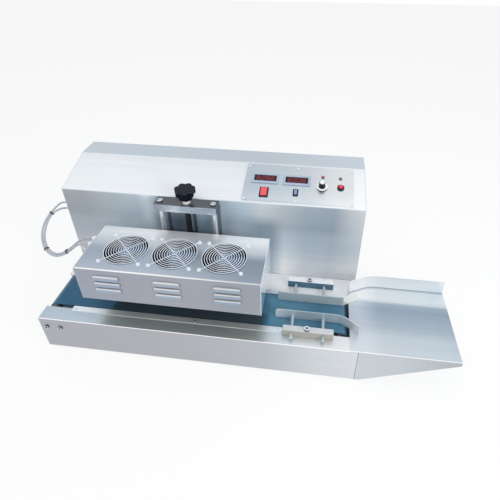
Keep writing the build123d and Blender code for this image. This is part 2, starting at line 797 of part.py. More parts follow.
louver_centres = [(x, z) for x in louver_x for z in louver_z]
louver_wall, louver_opening = 1.2, 2.6

# one pressed louver standing on the height 0, and the hollow behind it, open along its lower edge
with BuildPart() as louver_hood:
    with BuildSketch():
        SlotOverall(louver_length, louver_height)
    extrude(amount=louver_depth)
    fillet(louver_hood.faces().sort_by(Axis.Z)[-1].edges(), radius=louver_rounding)

with BuildPart() as louver_hollow:
    with BuildSketch(Plane.XY.offset(-sheet)):
        with Locations((0, -louver_opening)):
            SlotOverall(louver_length - 2 * louver_wall, louver_height - 2 * louver_wall)
    extrude(amount=sheet + louver_depth - louver_wall)

with BuildPart() as head_shell:
    folded_sheet(
        across(head_left + sheet),
        [
            (head_back, head_low),
            (head_back, head_high),
            (head_front, head_high),
            (head_front, head_low),
        ],
        head_right - head_left - 2 * sheet,
    )
    upright(fan_centres, fan_bore_radius, (skin_low, head_high), Mode.SUBTRACT)
    upright(fan_screw_centres, 2.2, (skin_low, head_high), Mode.SUBTRACT)
    with Locations(facing(head_front)):
        with Locations(*louver_centres):
            add(louver_hood.part)
            add(louver_hollow.part, mode=Mode.SUBTRACT)
save(head_shell.part, "head_shell")

with BuildPart() as head_end_caps:
    for x in (head_left, head_right - sheet):
        with BuildSketch(across(x)):
            with Locations(((head_front + head_back) / 2, (head_low + head_high) / 2)):
                Rectangle(head_back - head_front, head_high - head_low)
        extrude(amount=sheet)
    fillet(head_end_caps.edges().filter_by(Axis.X).group_by(Axis.Z)[-1], radius=bend)
    sideways([(y, head_gland_z) for y in head_gland_y], 8.0, (head_left, head_left + sheet),
             Mode.SUBTRACT)
save(head_end_caps.part, "head_end_caps")

plate_x = (head_left + sheet, head_right - sheet)
plate_y = (head_front + sheet, head_back - sheet)
coil_low = head_low + coil_plate_thick

with BuildPart() as coil_plate:
    block(plate_x, plate_y, (head_low, coil_low))
save(coil_plate.part, "coil_plate")

with BuildPart() as induction_coil:
    with BuildSketch(level(coil_low)):
        with Locations(((head_left + head_right) / 2, fan_y)):
            for outer, inner in ((62.0, 56.0), (52.0, 46.0), (42.0, 36.0)):
                SlotCenterToCenter(300.0, 2 * outer)
                SlotCenterToCenter(300.0, 2 * inner, mode=Mode.SUBTRACT)
    extrude(amount=8.0)
save(induction_coil.part, "induction_coil")

# ---- fans ------------------------------------------------------------------------------
fan_low = skin_low - fan_height
motor_cup_high = fan_low + 6.0

with BuildPart() as fan_frames:
    with BuildSketch(level(fan_low)):
        with Locations(*fan_centres):
            RectangleRounded(fan_size, fan_size, 6.0)
            Circle(fan_bore_radius, mode=Mode.SUBTRACT)
    extrude(amount=fan_height)
    upright(fan_screw_centres, 2.2, (fan_low, skin_low), Mode.SUBTRACT)
    for x, y in fan_centres:
        with BuildSketch(level(fan_low)):
            with Locations((x, y)):
                Circle(hub_radius)
                with PolarLocations(40.0, 4, start_angle=45.0):
                    Rectangle(37.0, 4.0)
        extrude(amount=motor_cup_high - fan_low)
save(fan_frames.part, "fan_frames")

rotor_low, rotor_high = motor_cup_high + 1.5, skin_low - 2.5
blade_count = 7


def fan_rotor(x):
    """A fan rotor: a capped hub and seven pitched blades, each swept back towards its tip."""
    upright([(x, fan_y)], hub_radius, (rotor_low, rotor_high))
    for n in range(blade_count):
        turn = 360.0 / blade_count * n
        root = Plane((base_left + x, base_front + fan_y, foot_height + (rotor_low + rotor_high) / 2))
        blade_axis = root.rotated((0, 0, turn))
        inner = Plane(blade_axis.from_local_coords(Vector(hub_radius - 3.0, 0, 0)),
                      x_dir=blade_axis.y_dir, z_dir=blade_axis.x_dir)
        outer = Plane(blade_axis.from_local_coords(Vector(rotor_radius - 1.5, 8.0, 0)),
                      x_dir=blade_axis.y_dir, z_dir=blade_axis.x_dir)
        with BuildSketch(inner) as blade_root:
            Rectangle(26.0, 1.8, rotation=48.0)
        with BuildSketch(outer) as blade_tip:
            Rectangle(38.0, 1.4, rotation=28.0)
        loft([blade_root.sketch.face(), blade_tip.sketch.face()])
    upright([(x, fan_y)], rotor_radius, (rotor_low, rotor_high), Mode.INTERSECT)


for x, side in zip(fan_x, ("left", "middle", "right")):
    with BuildPart() as rotor:
        fan_rotor(x)
    save(rotor.part, f"fan_rotor_{side}")

inner_ring, outer_ring = 6.6, fan_bore_radius
ring_pitch = (outer_ring - inner_ring) / (guard_rings - 1)
eyelet_thick = 1.5
eyelet_reach = fan_pitch / 2 * 2**0.5
spoke_z = guard_wire + 0.3
ring_z = spoke_z + 1.5 * guard_wire

# one guard, centred on its fan's axis and standing on the height 0
with BuildPart() as fan_guard:
    for n in range(guard_rings):
        with BuildSketch(Plane.XZ):
            with Locations((inner_ring + ring_pitch * n, ring_z)):
                Circle(guard_wire)
        revolve(axis=Axis.Z)
    for turn in (45.0, 135.0):
        across_fan = Plane((0, 0, spoke_z)).rotated((0, 0, turn))
        with BuildSketch(Plane((0, 0, spoke_z), x_dir=across_fan.y_dir, z_dir=across_fan.x_dir)):
            Circle(guard_wire)
        extrude(amount=eyelet_reach - 4.6, both=True)
    with BuildSketch():
        with PolarLocations(eyelet_reach, 4, start_angle=45.0):
            Circle(5.0)
            Circle(2.2, mode=Mode.SUBTRACT)
    extrude(amount=eyelet_thick)

with BuildPart(level(head_high)) as fan_guards:
    with Locations(*fan_centres):
        add(fan_guard.part)
save(fan_guards.part, "fan_guards")

with BuildPart() as fan_screws:
    cap_screws(level(head_high + eyelet_thick), fan_screw_centres, 4.4, 2.6, 2.0, 30.0)
save(fan_screws.part, "fan_screws")

with BuildPart() as head_glands:
    cable_gland(leftward(head_left), [(-y, head_gland_z) for y in head_gland_y], 8.0)
save(head_glands.part, "head_glands")

# ======================================================================================
# Bottle guides
# ======================================================================================
guide_rod_centres = [(x, guide_rod_z) for x in guide_rod_x]

with BuildPart() as guide_blocks:
    for y in (front_block, rear_block):
        block((block_left, block_right), y, (base_height, block_high))
    chamfer(guide_blocks.edges(), length=0.8)
    for y in (front_block, rear_block):
        lengthwise(guide_rod_centres, guide_rod_radius + running_gap, y, Mode.SUBTRACT)
        upright([(clamp_screw_x, (y[0] + y[1]) / 2)], 3.0 + running_gap,
                (block_high - 15.0, block_high), Mode.SUBTRACT)
save(guide_blocks.part, "guide_blocks")

for y, side in ((front_block, "front"), (rear_block, "rear")):
    with BuildPart() as clamp_screw:
        cap_screws(level(block_high + 0.1), [(clamp_screw_x, (y[0] + y[1]) / 2)], 7.0, 5.5, 3.0, 13.0)
    save(clamp_screw.part, f"{side}_clamp_screw")


def guide_rods(y):
    """Two round rods with domed ends, welded to a rail."""
    lengthwise(guide_rod_centres, guide_rod_radius, y)


with BuildPart() as front_guide:
    with BuildSketch(level(rail_low)) as rail:
        with BuildLine() as rail_line:
            straight = Line((rail_left, front_rail_y), (800.0, front_rail_y))
            curve = JernArc(straight @ 1, straight % 1, 52.0, -37.5)
            Line(curve @ 1, curve @ 1 + (curve % 1) * 36.0)
        trace(line_width=rail_thick)
    extrude(amount=rail_high - rail_low)
    fillet(front_guide.edges().filter_by(Axis.Y).group_by(Axis.X)[0], radius=6.0)
    guide_rods((13.5, front_rail_y - rail_thick / 2 + 0.5))
    fillet(front_guide.edges().filter_by(GeomType.CIRCLE).group_by(Axis.Y)[0], radius=2.0)
save(front_guide.part, "front_guide")

with BuildPart() as rear_guide:
    with BuildSketch(level(rail_low)):
        with BuildLine():
            FilletPolyline(
                (rail_left, rear_rail_y),
                (822.0, rear_rail_y),
                (860.0, 175.5),
                radius=8.0,
            )
        trace(line_width=rail_thick)
    extrude(amount=rail_high - rail_low)
    fillet(rear_guide.edges().filter_by(Axis.Y).group_by(Axis.X)[0], radius=3.0)
    guide_rods((rear_rail_y + rail_thick / 2 - 0.5, 234.0))
    fillet(rear_guide.edges().filter_by(GeomType.CIRCLE).group_by(Axis.Y)[-1], radius=2.0)
save(rear_guide.part, "rear_guide")

# ======================================================================================
# Screws of the fixed frame
# ======================================================================================
with BuildPart() as frame_screws:
    cap_screws(facing(0), side_bolt_centres, 6.5, 4.0, 3.0, 20.0)
    cap_screws(level(base_height + sheet), strip_screw_centres, 3.0, 1.4, 1.5, sheet)
    cap_screws(on_slope(panel_thick), panel_screw_centres, 3.6, 2.0, 2.0, 1.8)
    cap_screws(facing(cabinet_front), [cabinet_screw_centre], 3.6, 2.0, 2.0, sheet)
    on_plane(level(top_plate_high), rod_centres, lambda: Circle(8.0), 3.5)
    on_plane(level(top_plate_high + 3.5), rod_centres, lambda: Rectangle(15.0, 2.0), -1.6,
             Mode.SUBTRACT)
    on_plane(level(top_plate_high), rod_centres, lambda: Circle(4.0),
             top_plate_low - top_plate_high)
    cap_screws(rearward(machine_depth), [(-x, z) for x, z in rear_screw_centres], 3.6, 2.0, 2.0,
               sheet)
    cap_screws(rearward(machine_depth + 3.0), [(-x, z) for x, z in inlet_screw_centres], 3.6, 2.0,
               2.0, 3.0 + sheet)
save(frame_screws.part, "frame_screws")

# ======================================================================================
# Cables
# ======================================================================================
outer_route = [
    (-24, 303, 285),
    (-50, 303, 285),
    (-70, 300, 269),
    (-88, 277, 252),
    (-88, 239, 239),
    (-71, 196, 229),
    (-38, 153, 215),
    (9, 132, 214),
    (53, 132, 239),
    (88, 139, 270),
    (116, 139, 270),
]
inner_route = [
    (-24, 303, 263),
    (-47, 303, 263),
    (-68.5, 294, 259),
    (-81, 276, 251),
    (-80, 241, 240),
    (-65, 197, 225),
    (-32, 158, 215),
    (12, 137, 218),
    (54, 139.5, 242),
    (86, 163, 270),
    (116, 163, 270),
]
# each tie: how far along the outer and along the inner cable it grips
tie_places = ((0.19, 0.17), (0.555, 0.532), (0.80, 0.776))
tie_gap, tie_thick, tie_width = 0.8, 1.4, 4.0


def placed(points):
    """Route points as vectors in the machine's frame."""
    return [Vector(base_left + x, base_front + y, foot_height + z) for x, y, z in points]


def bend_radii(points):
    """The largest bend that each corner's two runs leave room for."""
    radii = []
    for before, corner, after in zip(points, points[1:], points[2:]):
        incoming = corner - before
        outgoing = after - corner
        half_turn = radians(incoming.get_angle(outgoing) / 2)
        radii.append(0.45 * min(incoming.length, outgoing.length) / tan(half_turn))
    return radii


cable_lines = []
for route, label in ((placed(outer_route), "cable_outer"), (placed(inner_route), "cable_inner")):
    radii = bend_radii(route)
    with BuildPart() as cable:
        with BuildLine() as path:
            FilletPolyline(*route, radius=radii)
        cable_lines.append(path.wires()[0])
        with BuildSketch(Plane(cable_lines[-1] @ 0, z_dir=cable_lines[-1] % 0)):
            Circle(cable_radius)
        sweep()
    save(cable.part, label)
    print(label, "length", round(cable_lines[-1].length, 1), "bends", *(round(r, 1) for r in radii))

outer_line, inner_line = cable_lines
with BuildPart() as cable_ties:
    for outer_place, inner_place in tie_places:
        along = ((outer_line % outer_place) + (inner_line % inner_place)).normalized()
        apart = (inner_line @ inner_place) - (outer_line @ outer_place)
        apart = apart - along * apart.dot(along)
        middle = (outer_line @ outer_place) + apart / 2 - along * (tie_width / 2)
        with BuildSketch(Plane(middle, x_dir=apart, z_dir=along)) as loop:
            SlotCenterToCenter(apart.length, 2 * (cable_radius + tie_gap + tie_thick))
            SlotCenterToCenter(apart.length, 2 * (cable_radius + tie_gap), mode=Mode.SUBTRACT)
        extrude(loop.sketch, amount=tie_width)
save(cable_ties.part, "cable_ties")
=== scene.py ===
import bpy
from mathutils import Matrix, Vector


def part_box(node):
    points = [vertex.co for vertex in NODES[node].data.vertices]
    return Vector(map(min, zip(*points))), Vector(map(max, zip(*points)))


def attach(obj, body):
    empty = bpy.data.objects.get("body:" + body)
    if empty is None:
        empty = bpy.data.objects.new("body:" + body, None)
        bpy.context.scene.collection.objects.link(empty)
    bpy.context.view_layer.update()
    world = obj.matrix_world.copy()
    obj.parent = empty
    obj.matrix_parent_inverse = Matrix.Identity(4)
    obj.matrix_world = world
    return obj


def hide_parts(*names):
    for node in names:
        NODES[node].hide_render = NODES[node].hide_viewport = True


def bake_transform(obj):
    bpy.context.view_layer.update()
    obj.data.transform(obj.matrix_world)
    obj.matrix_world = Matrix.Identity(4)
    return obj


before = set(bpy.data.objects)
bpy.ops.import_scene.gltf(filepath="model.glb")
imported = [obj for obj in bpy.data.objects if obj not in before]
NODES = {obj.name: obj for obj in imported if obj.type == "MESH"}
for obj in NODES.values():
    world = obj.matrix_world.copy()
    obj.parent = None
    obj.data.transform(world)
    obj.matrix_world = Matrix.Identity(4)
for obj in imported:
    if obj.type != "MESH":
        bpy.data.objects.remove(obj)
"""Tabletop induction cap sealer: the finish of every part, the two cables to the sealing head, the
threaded lift screw, the figures of the two meters and the marks of the panel.

Lengths are metres. The machine's own measures are millimetres from the left end, the front face and
the underside of its base, and at() turns them into places in the scene.
"""
import math

import bpy
import numpy as np
from mathutils import Matrix

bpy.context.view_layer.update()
WHITE = (1.0, 1.0, 1.0)

# ---- the base's corner in the scene, in millimetres: the lowest one of its side panels ----------
BASE_LEFT, BASE_FRONT, FOOT_HEIGHT = (round(1000 * way, 1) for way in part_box("side_panels")[0])


def at(x, y, z):
    """The place in the scene of a point given in millimetres from the base's corner."""
    return ((BASE_LEFT + x) / 1000, (BASE_FRONT + y) / 1000, (FOOT_HEIGHT + z) / 1000)


def grid_at(x, y, z):
    """The places in the scene of arrays of millimetres from the base's corner, as one array."""
    return np.stack(np.broadcast_arrays(*at(x, y, z)), axis=-1)


def middle_of(node):
    """The middle of a node's box, in millimetres from the base's corner."""
    low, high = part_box(node)
    corner = (BASE_LEFT, BASE_FRONT, FOOT_HEIGHT)
    return [round(500 * (a + b) - c, 1) for a, b, c in zip(low, high, corner)]


# ---- the cabinet's slope, from its foot at the top of the front ---------------------------------
CABINET_FRONT, SLOPE_FOOT_Z = 254.1, 366.3
SLOPE_RUN, SLOPE_RISE = 146.6, 44.4
SLOPE_ANGLE = math.atan2(SLOPE_RISE, SLOPE_RUN)

# the directions that a finish can change along, and the place each is measured from
WAYS = {
    "x": ((1.0, 0.0, 0.0), at(0, 0, 0)),
    "y": ((0.0, 1.0, 0.0), at(0, 0, 0)),
    "z": ((0.0, 0.0, 1.0), at(0, 0, 0)),
    "off_panel": ((0.0, -math.sin(SLOPE_ANGLE), math.cos(SLOPE_ANGLE)),
                  at(0, CABINET_FRONT, SLOPE_FOOT_Z)),
}

# ---- camera, in millimetres from the base's corner ----------------------------------------------
CAMERA_PLACE = (717.654, -670.955, 1003.101)
CAMERA_RIGHT = (0.991753, 0.128166, -0.000442)
CAMERA_UP = (-0.071569, 0.556652, 0.827657)
CAMERA_LENS = 29.92
CAMERA_SHIFT = (-0.036, -0.095)

# ---- cables: the middle of each, from its cabinet gland to its head gland -----------------------
CABLE_RADIUS = 3.0
OUTER_ROUTE = (
    (-24, 303, 285),
    (-50, 303, 285),
    (-70, 300, 269),
    (-88, 277, 252),
    (-88, 239, 239),
    (-71, 196, 229),
    (-38, 153, 215),
    (9, 132, 214),
    (53, 132, 239),
    (88, 139, 270),
    (116, 139, 270),
)
INNER_ROUTE = (
    (-24, 303, 263),
    (-47, 303, 263),
    (-68.5, 294, 259),
    (-81, 276, 251),
    (-80, 241, 240),
    (-65, 197, 225),
    (-32, 158, 215),
    (12, 137, 218),
    (54, 139.5, 242),
    (86, 163, 270),
    (116, 163, 270),
)
LINE_STEPS, CABLE_SIDES = 24, 20

# ---- cable ties: the share of each cable's length that lies before the tie ----------------------
TIE_PLACES = ((0.19, 0.17), (0.555, 0.532), (0.80, 0.776))
TIE_CLEAR, TIE_HALF_THICK, TIE_HALF_WIDE = 0.75, 0.55, 2.0
BAND_STEPS, TIE_SIDES, BAND_SQUARE = 17, 12, 0.6
# the locking head: how far it stands off, its half sizes, and its width at each height
LOCK_OFF, LOCK_HALF_LONG, LOCK_HALF_WIDE, LOCK_SQUARE = 1.2, 2.6, 2.8, 0.5
LOCK_HEIGHTS = (-1.2, -1.1, 1.2, 1.4)
LOCK_WIDTHS = (0.9, 1.0, 1.0, 0.85)  # the share of its half sizes at each of those heights

# ---- lift screw: its thread, and the plain bar in it as heights and radii -----------------------
SCREW_X, COLUMN_Y = middle_of("lead_screw")[:2]
THREAD_FOOT, THREAD_TOP = 123.0, 343.7
THREAD_PITCH, THREAD_CREST, THREAD_DEPTH, THREAD_STEEP = 4.0, 8.0, 1.2, 1.1
THREAD_STEPS, SCREW_SIDES = 900, 40
JOURNAL = ((111.2, 0.0), (111.2, 5.2), (112.0, 6.0), (402.4, 6.0), (403.0, 5.2), (403.0, 0.001))

# ---- sealing head: the middle height of each row of louvres -------------------------------------
LOUVRE_ROWS = (223.5, 244.5, 265.5)

# ---- panel: places along it and up it, and heights off the slope --------------------------------
PANEL_THICK, WINDOW_HIGH, DIAL_THICK = 2.0, 2.4, 3.0
MARK_GAP, FIGURE_PROUD, INK_PROUD = 0.02, 0.15, 0.12
METERS = (("left_figures", "8288", (579.7, 90.0)), ("right_figures", "8008", (669.0, 89.0)))
FIGURE_PITCH, FIGURE_WIDTH, FIGURE_HEIGHT, FIGURE_LEAN = 13.2, 8.0, 13.5, 0.14
BAR_HALF_LONG, BAR_HALF_THICK = 0.42, 0.055
DIAL_CENTRE, DIAL_FIRST, DIAL_LAST, DIAL_MARKS = (740.5, 71.0), -60, 240, 11
MARK_NEAR, MARK_FAR, MARK_HALF = 10.2, 13.4, 0.3

# ---- floor: its reach in metres, and how much of it a direct look sees as plain white -----------
FLOOR_REACH, FLOOR_GLOW = 6.0, 0.82


# ================================================================================
# Camera and light
# ================================================================================
def stand_camera():
    """The camera stands in front of the machine, to the right and above, looking down at it."""
    camera = bpy.data.objects.new("camera", bpy.data.cameras.new("camera"))
    bpy.context.scene.collection.objects.link(camera)
    right, up = np.array(CAMERA_RIGHT), np.array(CAMERA_UP)
    turn = Matrix(np.stack([right, up, np.cross(right, up)], axis=1).tolist())
    camera.matrix_world = Matrix.Translation(at(*CAMERA_PLACE)) @ turn.to_4x4()
    camera.data.lens = CAMERA_LENS
    camera.data.sensor_width = 36.0
    camera.data.shift_x, camera.data.shift_y = CAMERA_SHIFT
    camera.data.clip_end = 50.0
    bpy.context.scene.camera = camera


def seen_directly(tree):
    """One where the camera, a mirror or a clear surface looks, nought where only light falls."""
    path = tree.nodes.new("ShaderNodeLightPath")
    chain = path.outputs["Is Camera Ray"]
    for ray in ("Is Glossy Ray", "Is Transmission Ray"):
        either = tree.nodes.new("ShaderNodeMath")
        either.operation = "MAXIMUM"
        tree.links.new(chain, either.inputs[0])
        tree.links.new(path.outputs[ray], either.inputs[1])
        chain = either.outputs[0]
    return chain


def lamp(name, place, aim, size, power, colour):
    """A square soft lamp at a place, turned to face a point; polished metal doesn't mirror it.

    One side is square to the line of sight and nearly to the y way, which is tilted a little so
    that a lamp straight in front still has a side."""
    data = bpy.data.lights.new(name, "AREA")
    data.size = size
    data.energy = power
    data.color = colour
    light = bpy.data.objects.new(name, data)
    light.visible_glossy = False
    bpy.context.scene.collection.objects.link(light)
    away = np.array(place) - np.array(aim)
    away = away / np.linalg.norm(away)
    side = np.cross((0.0, 1.0, 0.001), away)
    side = side / np.linalg.norm(side)
    turn = Matrix(np.stack([side, np.cross(away, side), away], axis=1).tolist())
    light.matrix_world = Matrix.Translation(place) @ turn.to_4x4()


def light_room():
    """Three soft lamps, and a pale world that eyes and polished metal see as plain white."""
    lamp("overhead_softbox", place=(-0.2, -0.1, 2.6), aim=(0, 0, 0.2), size=2.2, power=17.0,
         colour=(1.0, 0.99, 0.97))
    lamp("left_softbox", place=(-2.2, -1.4, 1.5), aim=(0, 0, 0.2), size=1.6, power=10.0,
         colour=(0.96, 0.98, 1.0))
    lamp("right_softbox", place=(1.9, -1.5, 1.1), aim=(0.2, 0, 0.1), size=1.2, power=34.0,
         colour=(0.98, 0.99, 1.0))
    world = bpy.data.worlds.new("room")
    bpy.context.scene.world = world
    world.use_nodes = True
    tree = world.node_tree
    tree.nodes.clear()
    lighting = tree.nodes.new("ShaderNodeBackground")
    lighting.inputs["Color"].default_value = (0.90, 0.94, 1.0, 1.0)
    lighting.inputs["Strength"].default_value = 0.62
    white = tree.nodes.new("ShaderNodeBackground")
    white.inputs["Color"].default_value = (*WHITE, 1.0)
    mix = tree.nodes.new("ShaderNodeMixShader")
    out = tree.nodes.new("ShaderNodeOutputWorld")
    tree.links.new(seen_directly(tree), mix.inputs["Fac"])
    tree.links.new(lighting.outputs[0], mix.inputs[1])
    tree.links.new(white.outputs[0], mix.inputs[2])
    tree.links.new(mix.outputs[0], out.inputs["Surface"])


# ================================================================================
# Finishes
# ================================================================================
def tone(red, green, blue):
    """The working colour of a shade named by its eye values, 0 to 255, by the screen's curve."""
    eye = np.array([red, green, blue]) / 255.0
    return tuple(np.where(eye > 0.04045, ((eye + 0.055) / 1.055) ** 2.4, eye / 12.92).tolist())


class Finish:
    """A finish under construction: its material, its one surface shader, and the patterns on it."""

    # the middle stretch of a noise's values, over which it changes a colour, and a roughness
    MOTTLE_SPAN = (0.3, 0.7)
    DULL_SPAN = (0.33, 0.67)

    def __init__(self, name, colour, metal, rough):
        self.material = bpy.data.materials.new(name)
        self.material.use_nodes = True
        self.tree = self.material.node_tree
        self.shader = self.tree.nodes["Principled BSDF"]
        self.shader.inputs["Base Color"].default_value = (*colour, 1.0)
        self.shader.inputs["Metallic"].default_value = metal
        self.shader.inputs["Roughness"].default_value = rough
        self.colour, self.rough = colour, rough
        self.coordinates = self.tree.nodes.new("ShaderNodeTexCoord")
        self.painted = None

    def set(self, **sockets):
        """Constants on the shader's own sockets, the spaces of a socket's name as underscores."""
        for name, value in sockets.items():
            self.shader.inputs[name.replace("_", " ")].default_value = value
        return self

    def noise(self, scale, stretch=(1, 1, 1), detail=2.0):
        """A noise over the object's own coordinates, scaled per metre and along each axis."""
        mapping = self.tree.nodes.new("ShaderNodeMapping")
        mapping.inputs["Scale"].default_value = stretch
        self.tree.links.new(self.coordinates.outputs["Object"], mapping.inputs["Vector"])
        texture = self.tree.nodes.new("ShaderNodeTexNoise")
        texture.inputs["Scale"].default_value = scale
        texture.inputs["Detail"].default_value = detail
        self.tree.links.new(mapping.outputs["Vector"], texture.inputs["Vector"])
        return texture.outputs[0]

    def paint(self, colour_socket, share=None):
        """Lay a pattern of colours over what is painted so far, each multiplying the other.

        Where a share is given, the pattern shows only as strongly as the share."""
        mix = self.tree.nodes.new("ShaderNodeMix")
        mix.data_type = "RGBA"
        mix.blend_type = "MULTIPLY"
        mix.inputs["Factor"].default_value = 1.0
        below, above = (socket for socket in mix.inputs if socket.type == "RGBA")
        if self.painted is None:
            below.default_value = (*self.colour, 1.0)
        else:
            self.tree.links.new(self.painted, below)
        self.tree.links.new(colour_socket, above)
        if share is not None:
            self.tree.links.new(share, mix.inputs["Factor"])
        self.painted = next(socket for socket in mix.outputs if socket.type == "RGBA")
        self.tree.links.new(self.painted, self.shader.inputs["Base Color"])
        return self

    def reach(self, way, first, last):
        """Nought up to the first distance along a way, one from the last, and even in between.

        The first may lie beyond the last, and then the share falls along the way.
        The distance is the place's dot product with the way's direction."""
        direction, start = WAYS[way]
        along = self.tree.nodes.new("ShaderNodeVectorMath")
        along.operation = "DOT_PRODUCT"
        along.inputs[1].default_value = direction
        self.tree.links.new(self.coordinates.outputs["Object"], along.inputs[0])
        between = self.tree.nodes.new("ShaderNodeMapRange")
        between.inputs["From Min"].default_value = np.dot(direction, start) + first / 1000
        between.inputs["From Max"].default_value = np.dot(direction, start) + last / 1000
        self.tree.links.new(along.outputs["Value"], between.inputs["Value"])
        return between.outputs["Result"]

    def along(self, way, stops, *fades):
        """Tint the finish along a way, from stops of millimetres and colour.

        Each fade names a further way, where along it the tint is absent, and where it is full."""
        first, last = stops[0][0], stops[-1][0]
        tint = self.tree.nodes.new("ShaderNodeValToRGB")
        while len(tint.color_ramp.elements) < len(stops):
            tint.color_ramp.elements.new(0.5)
        for element, stop in zip(tint.color_ramp.elements, stops):
            element.position = (stop[0] - first) / (last - first)
            element.color = (*stop[1], 1.0)
        self.tree.links.new(self.reach(way, first, last), tint.inputs["Fac"])
        share = None
        for fade in fades:
            share = self.product(share, self.reach(*fade))
        return self.paint(tint.outputs["Color"], share)

    def product(self, share, other):
        """Two shares multiplied, or the second alone where there is no first."""
        if share is None:
            return other
        both = self.tree.nodes.new("ShaderNodeMath")
        both.operation = "MULTIPLY"
        self.tree.links.new(share, both.inputs[0])
        self.tree.links.new(other, both.inputs[1])
        return both.outputs[0]

    def mottle(self, value, dark, light):
        """The colour varies with a pattern between two strengths of itself."""
        ramp = self.tree.nodes.new("ShaderNodeValToRGB")
        stops = zip(ramp.color_ramp.elements, self.MOTTLE_SPAN, (dark, light))
        for element, place, strength in stops:
            element.position = place
            element.color = (strength, strength, strength, 1.0)
        self.tree.links.new(value, ramp.inputs["Fac"])
        return self.paint(ramp.outputs["Color"])

    def dull(self, value, change):
        """The roughness varies with a pattern, by the change either way."""
        between = self.tree.nodes.new("ShaderNodeMapRange")
        between.inputs["From Min"].default_value = self.DULL_SPAN[0]
        between.inputs["From Max"].default_value = self.DULL_SPAN[1]
        between.inputs["To Min"].default_value = self.rough - change
        between.inputs["To Max"].default_value = self.rough + change
        self.tree.links.new(value, between.inputs["Value"])
        self.tree.links.new(between.outputs["Result"], self.shader.inputs["Roughness"])
        return self

    def relief(self, value, strength, depth):
        """The surface rises and falls with a pattern, by a depth in metres."""
        bump = self.tree.nodes.new("ShaderNodeBump")
        bump.inputs["Strength"].default_value = strength
        bump.inputs["Distance"].default_value = depth
        self.tree.links.new(value, bump.inputs["Height"])
        self.tree.links.new(bump.outputs["Normal"], self.shader.inputs["Normal"])
        return self

    def cover(self, *names):
        """Put the finish on every material slot of the named nodes."""
        for name in names:
            for slot in NODES[name].material_slots:
                slot.material = self.material
        return self


def brushed(name, colour, rough, grain=(6, 900, 900), metal=1.0):
    """Brushed stainless sheet: short fine scratches along the grain, twelve times broader streaks,
    and a faintly cloudy polish."""
    finish = Finish(name, colour, metal, rough)
    scratches = finish.noise(1.0, grain, detail=3.0)
    clouds = finish.noise(5.0)
    streaks = finish.noise(1.0, tuple(lines / 12 for lines in grain))
    finish.mottle(scratches, 0.95, 1.03).mottle(streaks, 0.98, 1.015).mottle(clouds, 0.985, 1.01)
    finish.dull(clouds, 0.04)
    return finish.relief(scratches, 0.04, 0.0002)


def moulded(name, colour, rough, scale=900.0, strength=0.08):
    """Moulded plastic: an even colour with a fine leathery grain and slight clouding."""
    finish = Finish(name, colour, 0.0, rough)
    grain = finish.noise(scale, detail=3.0)
    clouds = finish.noise(30.0)
    return finish.mottle(clouds, 0.94, 1.05).dull(clouds, 0.05).relief(grain, strength, 0.0002)


def turned(name, colour, rough, grain, strength=0.1):
    """Turned or drawn bar: fine lines across or along it and a soft polish."""
    finish = Finish(name, colour, 1.0, rough)
    lines = finish.noise(1.0, grain)
    clouds = finish.noise(25.0)
    return finish.mottle(lines, 0.92, 1.05).dull(clouds, 0.04).relief(lines, strength, 0.0002)


def finish_cabinet():
    """The control cabinet's folded sheet, brushed along the machine, and its side and rear sheets."""
    shell = brushed("brushed_cabinet_sheet", WHITE, 0.48, metal=0.42)
    # painted reflection: the front, the slope and the level top each in a tone of its own, the level
    # top darker, from the foot of the front up
    shell.along("z", (
        (110, WHITE),
        (160, WHITE),
        (230, tone(222, 231, 238)),
        (300, tone(218, 229, 238)),
        (362, tone(224, 234, 241)),
        (365, tone(230, 238, 243)),
        (368.5, tone(242, 244, 245)),
        (400, tone(236, 239, 241)),
        (409.8, tone(230, 234, 237)),
        (410.4, tone(190, 202, 212)),
        (411, tone(188, 200, 210)),
    ))
    # painted reflection on the slope and the top, from left to right, darkest near the middle
    shell.along("x", (
        (0, tone(248, 249, 249)),
        (160, tone(246, 247, 248)),
        (560, tone(240, 241, 242)),
        (700, tone(246, 247, 248)),
        (861, WHITE),
    ), ("z", 365.5, 366.5))
    # painted reflection on the upper front: lighter and darker bands from left to right
    shell.along("x", (
        (0, tone(188, 187, 186)),
        (60, tone(191, 188, 187)),
        (150, tone(208, 211, 211)),
        (222, tone(223, 225, 227)),
        (249, tone(254, 254, 252)),
        (333, tone(194, 199, 202)),
        (409, WHITE),
        (478, tone(211, 217, 223)),
        (519, tone(224, 232, 237)),
        (581, tone(244, 240, 237)),
        (640, tone(216, 214, 213)),
        (700, tone(189, 193, 198)),
        (779, tone(177, 183, 188)),
        (823, tone(217, 214, 212)),
        (861, tone(236, 230, 225)),
    ), ("y", 255.6, 254.6), ("z", 225, 290))
    # painted reflection on the lower front: white in the middle, darker towards both ends
    shell.along("x", (
        (22, tone(208, 211, 214)),
        (150, tone(240, 240, 243)),
        (200, WHITE),
        (640, WHITE),
        (700, tone(220, 225, 231)),
        (779, tone(209, 214, 219)),
        (861, tone(228, 229, 229)),
    ), ("z", 290, 225))
    # painted shade and reflection of the sealing head, on the front behind the lift column and to its
    # right
    shell.along("x", (
        (262, WHITE),
        (290, tone(180, 192, 206)),
        (345, tone(176, 188, 202)),
        (420, tone(200, 224, 236)),
        (462, WHITE),
        (510, WHITE),
        (575, tone(196, 207, 216)),
        (608, tone(196, 207, 216)),
        (645, WHITE),
    ), ("z", 325, 285))
    # painted reflections of the lift column's rods and screw: three upright dark bands behind the
    # lift column
    shell.along("x", (
        (305, WHITE),
        (308, tone(158, 160, 164)),
        (316, tone(158, 160, 164)),
        (318, WHITE),
        (380, WHITE),
        (383, tone(150, 154, 158)),
        (391, tone(150, 154, 158)),
        (393, WHITE),
        (452, WHITE),
        (455, tone(168, 174, 180)),
        (463, tone(168, 174, 180)),
        (465, WHITE),
    ), ("z", 352, 344))
    shell.cover("cabinet_shell")
    side = brushed("brushed_side_sheet", tone(206, 213, 218), 0.4, grain=(900, 6, 900), metal=0.8)
    side.cover("side_panels", "rear_cover")


